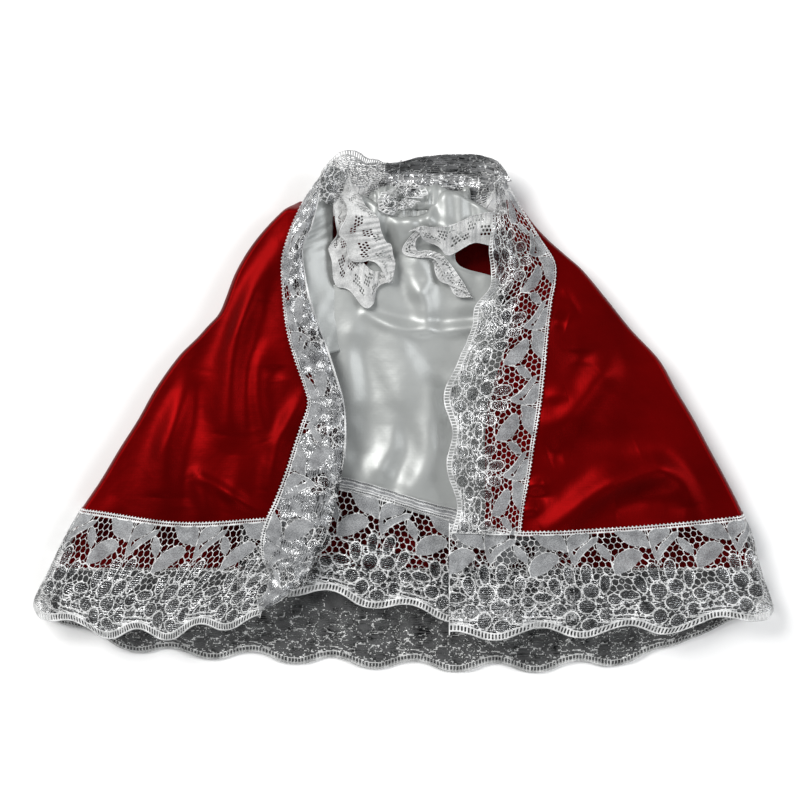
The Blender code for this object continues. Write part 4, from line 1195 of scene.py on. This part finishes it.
def neck_sweep(name, profile, count, material):
    rings = [[neck_ring(k / count, o, y) for o, y in profile(k / count)] for k in range(count)]
    m = len(rings[0])
    verts = np.array(rings).reshape(-1, 3)
    faces = []
    for k in range(count):
        a, b = k * m, ((k + 1) % count) * m
        for i in range(m):
            j = (i + 1) % m
            faces.append((a + i, b + i, b + j, a + j))
    ob = make_mesh(name, verts, np.array(faces).ravel(), np.full(len(faces), 4), [material])
    bm = bmesh.new()
    bm.from_mesh(ob.data)
    bmesh.ops.recalc_face_normals(bm, faces=bm.faces)
    bm.to_mesh(ob.data)
    bm.free()
    return ob


def gathers(share, k):
    x = 2 * math.pi * share
    at = -20.8 + share * (83.2 + 32.7)
    strong = 0.28 + 0.72 * math.exp(-((at + 8.0) / 11.0) ** 2) if share < 0.5 else 0.6
    return strong * (0.9 * math.sin(x * 9 + k + 1.4 * math.sin(x * 2)) + 0.6 * math.sin(x * 23 + 2 * k + math.sin(x * 5))
            + 0.35 * math.sin(x * 41 + k * 3))


def casing(share):
    g = gathers(share, 0.4)
    top = 106.2 + 0.25 * g
    outer = [(-0.1 + 0.25 * g, 99.6), (0.35 + 0.42 * g, 101.8), (0.5 + 0.5 * g, 104.2), (0.3 + 0.4 * g, top)]
    inner = [(-0.9, top - 0.4), (-1.9, 105.0), (-2.0, 100.2), (-1.75, 100.2), (-1.6, 105.0),
             (-0.7, 105.6), (-0.15, 104.4), (-0.1, 100.1)]
    return outer + inner


def frill(share):
    g, g2 = gathers(share, 0.9), gathers(share, 2.2)
    side_ = math.sin(2 * math.pi * share)
    top = 116.0 + 2.4 * math.sin(2 * math.pi * share * 5) + 0.6 * g
    a = [(0.75 + 0.3 * g, 105.4), (0.9 + 0.7 * g, 108.5), (0.6 + 0.9 * g, 111.5), (0.2 + 1.1 * g2, 115.0),
         (-0.6 + 1.3 * g2, top)]
    return a + [(o - 0.3, y) for o, y in reversed(a)]


made["casing"] = neck_sweep("neck_casing_satin", casing, 560, WHITE)
made["frill"] = neck_sweep("neck_frill_satin", frill, 560, WHITE)

# armhole frills: sewn edge and free edge in plan, level, number of flutes
FRILLS = {
    "left_lower": (px([(352, 185), (349, 196), (348, 208), (348, 222), (350, 236), (354, 248), (358, 256),
                       (362, 262), (368, 268), (374, 272), (380, 272), (384, 274), (388, 274)]),
                   px([(347, 169), (337, 179), (333, 192), (332, 209), (334, 221), (338, 233), (332, 243),
                       (328, 254), (329, 268), (336, 280), (346, 292), (358, 306), (368, 310), (375, 303),
                       (378, 289), (391, 286)]), 12.2, 4.0, 0.9, 22.0),
    "left_upper": (px([(354, 193), (361, 199), (367, 209), (375, 216), (379, 222), (381, 232), (386, 243),
                       (391, 246), (393, 256), (395, 264), (394, 272), (392, 280)]),
                   px([(346, 176), (349, 184), (351, 190), (345, 196), (343, 205), (344, 216), (342, 228),
                       (340, 238), (341, 247), (347, 256), (357, 260), (365, 262), (374, 267), (384, 274),
                       (391, 281)]), 14.6, 3.5, 1.0, 22.0),
    "right_upper": (px([(409, 233), (421, 228), (432, 229), (450, 227), (463, 222), (476, 216), (492, 214)]),
                    px([(416, 232), (429, 242), (437, 251), (445, 256), (454, 256), (463, 251), (469, 246),
                        (477, 244), (485, 249), (491, 251)]), 14.4, 3.0, 1.2, 17.0),
    "right_lower": (px([(425, 234), (417, 239), (415, 246), (418, 252), (427, 251), (436, 253), (443, 257),
                        (451, 266), (458, 276), (464, 285), (469, 295)]),
                    px([(421, 232), (412, 233), (407, 238), (404, 247), (407, 257), (416, 262), (431, 261),
                        (439, 269), (448, 281), (458, 293), (468, 297)]), 13.2, 2.0, 0.5, 9.0),
    "right_panel": (px([(470, 296), (462, 288), (452, 276), (444, 266), (434, 260)]),
                    px([(470, 300), (456, 295), (444, 286), (436, 276), (431, 264)]), 12.4, 2.0, 0.4, 9.0),
}
for key, (sewn, free, level, flutes, deep, wide) in FRILLS.items():
    n, m = 90, 16
    a, b = even(sewn, n), even(free, n)
    u = np.linspace(0, 1, n)[:, None]
    w = np.linspace(0, 1, m)[None]
    swing = np.sin(2 * np.pi * u * flutes + 0.5)
    x = a[:, :1] + (b[:, :1] - a[:, :1]) * w + 1.0 * w * np.cos(2 * np.pi * u * flutes)
    y = a[:, 1:] + (b[:, 1:] - a[:, 1:]) * w + 1.6 * w * np.cos(2 * np.pi * u * flutes + 0.5)
    z = level + rise(y) * 0.75 + deep * w * swing + 0.35 * np.sin(2 * np.pi * u * 19) * (1 - w)
    surf = Surface(np.stack([x, y, z], -1))
    along = float(np.linalg.norm(np.diff(b, axis=0), axis=1).sum())
    made[key] = lace("armhole_frill_" + key, surf, along * 1.25, kind="frill", cell=0.29,
                     width=wide, phase=4.0, mats=[THREAD, FRILL, LUREX], seed=17,
                     face=1.0 if surf.normal(np.array([0.5]), np.array([0.5]))[0][2] > 0 else -1.0)

# the gathered knot of lace at the middle of the neck
n, m = 140, 12
u = np.linspace(0, 1, n)[:, None]
w = np.linspace(0, 1, m)[None]
ang = 2 * np.pi * (u - 0.02) * 0.98
reach = 1.2 + (8.6 + 2.6 * np.sin(ang * 2 + 0.8) + 0.8 * np.sin(ang * 5)) * w
x = -1.0 + 1.35 * reach * np.cos(ang) + 0.7 * w * np.sin(ang * 9)
y = 111.3 + 0.85 * reach * np.sin(ang) + 0.7 * w * np.cos(ang * 11)
z = 16.9 + 1.5 * w * np.sin(ang * 8 + 1.0) * (0.6 + 0.4 * np.sin(ang * 3)) + 1.2 * (1 - w) * w * 4
surf = Surface(np.stack([x, y, z + 0.0 * u], -1))
made["rosette"] = lace("neck_gathered_lace", surf, 82.0, cell=0.31, phase=5.0, v_lo=38.0, mats=LACE,
                       seed=23, face=1.0 if surf.normal(np.array([0.3]), np.array([0.5]))[0][2] > 0 else -1.0)

# the left front's turned facing, seen between the edge lace and the armhole
a = even(px([(328, 165), (314, 192), (306, 222), (296, 252), (300, 284), (310, 318), (324, 356)]), 90)
b = even(px([(346, 172), (334, 196), (333, 220), (333, 246), (334, 272), (337, 300), (342, 350)]), 90)
u = np.linspace(0, 1, 90)[:, None]
w = np.linspace(0, 1, 26)[None]
x = a[:, :1] + (b[:, :1] - a[:, :1]) * w
y = a[:, 1:] + (b[:, 1:] - a[:, 1:]) * w
z = (16.4 - 7.6 * w ** 1.4 + 0.3 * np.sin(u * 25 + w * 6 + 2.0 * np.sin(u * 7)) * smooth(w * 3)
     + 0.35 * np.sin(u * 17 - w * 4) + 0.0 * x
     + 0.22 * np.sin(u * 104 + w * 11) * np.exp(-((u - 0.36) / 0.13) ** 2))
made["facing"] = closed_sheet("left_front_facing", np.stack([x, y, z], -1), 0.3, WHITE)



def strand(name, pts, radius, material, twist=0.18, n=None, flat=1.0):
    """A cord or loose thread along points in millimetres, lightly twisted."""
    pts = np.asarray(pts, float)
    n = n or max(12, int(3 * len(pts)))
    c = even(pts, n)
    tan = np.gradient(c, axis=0)
    tan /= np.maximum(np.linalg.norm(tan, axis=1, keepdims=True), 1e-9)
    up = np.tile([0.0, 0.0, 1.0], (n, 1))
    a = np.cross(tan, up)
    a /= np.maximum(np.linalg.norm(a, axis=1, keepdims=True), 1e-9)
    b = np.cross(a, tan)
    k = 8
    verts = []
    for i in range(n):
        r = radius * (1 + twist * math.sin(i * 1.9)) * (0.35 if i in (0, n - 1) else 1.0)
        for q in range(k):
            t = 2 * math.pi * q / k
            verts.append(c[i] + r * (a[i] * math.cos(t) + flat * b[i] * math.sin(t)))
    faces, sizes = [], []
    for i in range(n - 1):
        for q in range(k):
            w = (q + 1) % k
            faces += [i * k + q, i * k + w, (i + 1) * k + w, (i + 1) * k + q]
            sizes.append(4)
    faces += list(range(k - 1, -1, -1))
    faces += [(n - 1) * k + q for q in range(k)]
    sizes += [k, k]
    ob = make_mesh(name, np.array(verts), np.array(faces), np.array(sizes), [material])
    bm = bmesh.new()
    bm.from_mesh(ob.data)
    bmesh.ops.recalc_face_normals(bm, faces=bm.faces)
    bm.to_mesh(ob.data)
    bm.free()
    return ob


def on_front(points, above):
    p = even(points, 60)
    return np.column_stack([p, FRONT_Z + lift(p[:, 0], p[:, 1]) + above])


# folded edge of the left edge lace
made["left_fold_cord"] = strand("left_edge_fold_cord", on_front(LEFT_IN[:12], 2.5), 0.55, THREAD, n=300, flat=0.7)

# =========================================================================================
# 8. Riding, replacing and printing the cut sizes
# =========================================================================================
for side in ("left", "right"):
    start, end = hinge(side)
    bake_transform(made[side + "_satin"])
    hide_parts("cape_%s_front_panel" % side)
    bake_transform(made[side + "_hem"])
    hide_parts("cape_%s_hem_lace" % side)
    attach(made[side + "_edge"], side + "_front")
    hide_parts("cape_%s_edge_lace" % side)
for key, cad, body, slot in (
        ("back_satin", "cape_back_panel", "cape_back", "red_satin"),
        ("back_hem", "cape_back_hem_lace", "cape_back", "silver_lace"),
        ("collar", "cape_collar_lace", "cape_back", "silver_lace"),
        ("tunic_front", "tunic_front", "tunic", "white_satin"),
        ("tunic_back", "tunic_back", "tunic", "white_satin"),
        ("tunic_front_hem", "tunic_front_hem_lace", "tunic", "silver_lace"),
        ("tunic_back_hem", "tunic_back_hem_lace", "tunic", "silver_lace"),
        ("casing", "tunic_neck_casing", "tunic", "white_satin"),
        ("frill", "tunic_neck_ruffle", "tunic", "white_satin"),
        ("left_lower", "tunic_left_armhole_ruffle", "tunic", "silver_lace"),
        ("left_upper", "tunic_left_armhole_upper_tier", "tunic", "silver_lace"),
        ("right_lower", "tunic_right_armhole_ruffle", "tunic", "silver_lace"),
        ("right_upper", "tunic_right_armhole_upper_tier", "tunic", "silver_lace")):
    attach(made[key], body)
    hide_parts(cad)
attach(made["collar_back"], "cape_back")
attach(made["left_fold_cord"], "left_front")
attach(made["facing"], "left_front")
for key in ("rosette", "tunic_tape", "right_panel"):
    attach(made[key], "tunic")
for cad, mat in (("cape_neck_tape", TAPE), ("tunic_neck_elastic", ELASTIC)):
    for slot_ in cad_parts[cad].material_slots:
        slot_.material = mat


def net_area(ob):
    """Flat area of one layer of the cut, in square metres."""
    a = np.zeros(len(ob.data.polygons))
    ob.data.polygons.foreach_get("area", a)
    return float(a.sum() / 2)


FLAT = {  # cut size before sewing, in metres, how it is held, and what it lies on
    "left_satin": (0.205, 0.178, "folded", ["cape_back_satin", "tunic_front_satin"]),
    "right_satin": (0.215, 0.178, "folded", ["cape_back_satin", "tunic_front_satin"]),
    "back_satin": (0.36, 0.195, "laid", []),
    "left_hem": (0.215, 0.057, "gathered", ["left_front_satin"]),
    "right_hem": (0.175, 0.057, "folded", ["right_front_satin"]),
    "back_hem": (0.370, 0.057, "laid", ["cape_back_satin"]),
    "left_edge": (0.255, 0.057, "folded", ["left_front_satin"]),
    "right_edge": (0.255, 0.057, "gathered", ["right_front_satin"]),
    "collar": (0.075, 0.057, "gathered", ["cape_back_satin"]),
    "collar_back": (0.110, 0.057, "folded", ["cape_back_satin"]),
    "facing": (0.100, 0.015, "folded", ["left_front_satin"]),
    "rosette": (0.085, 0.018, "gathered", ["neck_frill_satin"]),
    "right_panel": (0.030, 0.010, "gathered", ["tunic_front_satin"]),
    "tunic_front": (0.185, 0.165, "laid", ["tunic_back_satin"]),
    "tunic_back": (0.185, 0.165, "laid", ["cape_back_satin"]),
    "tunic_front_hem": (0.180, 0.057, "laid", ["tunic_front_satin"]),
    "tunic_back_hem": (0.180, 0.057, "laid", ["tunic_back_satin"]),
    "casing": (0.120, 0.016, "gathered", ["tunic_front_satin"]),
    "frill": (0.230, 0.014, "gathered", ["neck_casing_satin"]),
    "left_lower": (0.110, 0.022, "gathered", ["tunic_front_satin"]),
    "left_upper": (0.090, 0.022, "gathered", ["tunic_front_satin"]),
    "right_upper": (0.060, 0.020, "gathered", ["tunic_front_satin"]),
    "right_lower": (0.075, 0.010, "gathered", ["tunic_front_satin"]),
}
for key, (w, l, held, rests) in FLAT.items():
    cut = min(max(net_area(made[key]), 0.3 * w * l), w * l)
    print("sheet %s flat %.3f x %.3f measured net %.5f stated %.5f"
          % (made[key].name, w, l, net_area(made[key]), cut))

# =========================================================================================
# 9. Floor, light and camera
# =========================================================================================
bpy.ops.mesh.primitive_plane_add(size=6.0, location=(0, 0, -0.0002))
floor = bpy.context.object
floor.name = "studio_floor"
mat, tree, shader = new_material("pale_floor", Roughness=0.9)
shader.inputs["Base Color"].default_value = (0.93, 0.93, 0.93, 1.0)
floor.data.materials.append(mat)

world = bpy.data.worlds.new("studio")
world.use_nodes = True
world.node_tree.nodes["Background"].inputs["Color"].default_value = (0.95, 0.98, 1.0, 1.0)
world.node_tree.nodes["Background"].inputs["Strength"].default_value = 0.20
bpy.context.scene.world = world


def area_light(name, where, size, power, colour=(1, 1, 1)):
    data = bpy.data.lights.new(name, "AREA")
    data.shape = "RECTANGLE"
    data.size, data.size_y = size
    data.energy = power
    data.color = colour
    ob = bpy.data.objects.new(name, data)
    bpy.context.collection.objects.link(ob)
    ob.location = where
    ob.rotation_euler = (Vector((0, 0, 0)) - Vector(where)).to_track_quat("-Z", "Y").to_euler()
    return ob


area_light("key_upper_left", (-0.9, 0.78, 1.25), (0.9, 0.7), 31.0, (1.0, 0.99, 0.975))
area_light("fill_right", (1.15, 0.3, 0.95), (0.5, 0.8), 10.5, (0.97, 0.98, 1.0))
area_light("low_front", (0.1, -1.2, 0.8), (1.0, 0.3), 4.0)

cam = bpy.data.cameras.new("photo_camera")
cam.lens, cam.sensor_width = 85.0, 36.0
cam_ob = bpy.data.objects.new("photo_camera", cam)
bpy.context.collection.objects.link(cam_ob)
cam_ob.location = (-0.00156, 0.00676, 0.992)
cam_ob.rotation_euler = (0.0, 0.0, 0.0)
bpy.context.scene.camera = cam_ob
bpy.context.scene.view_settings.view_transform = "Standard"
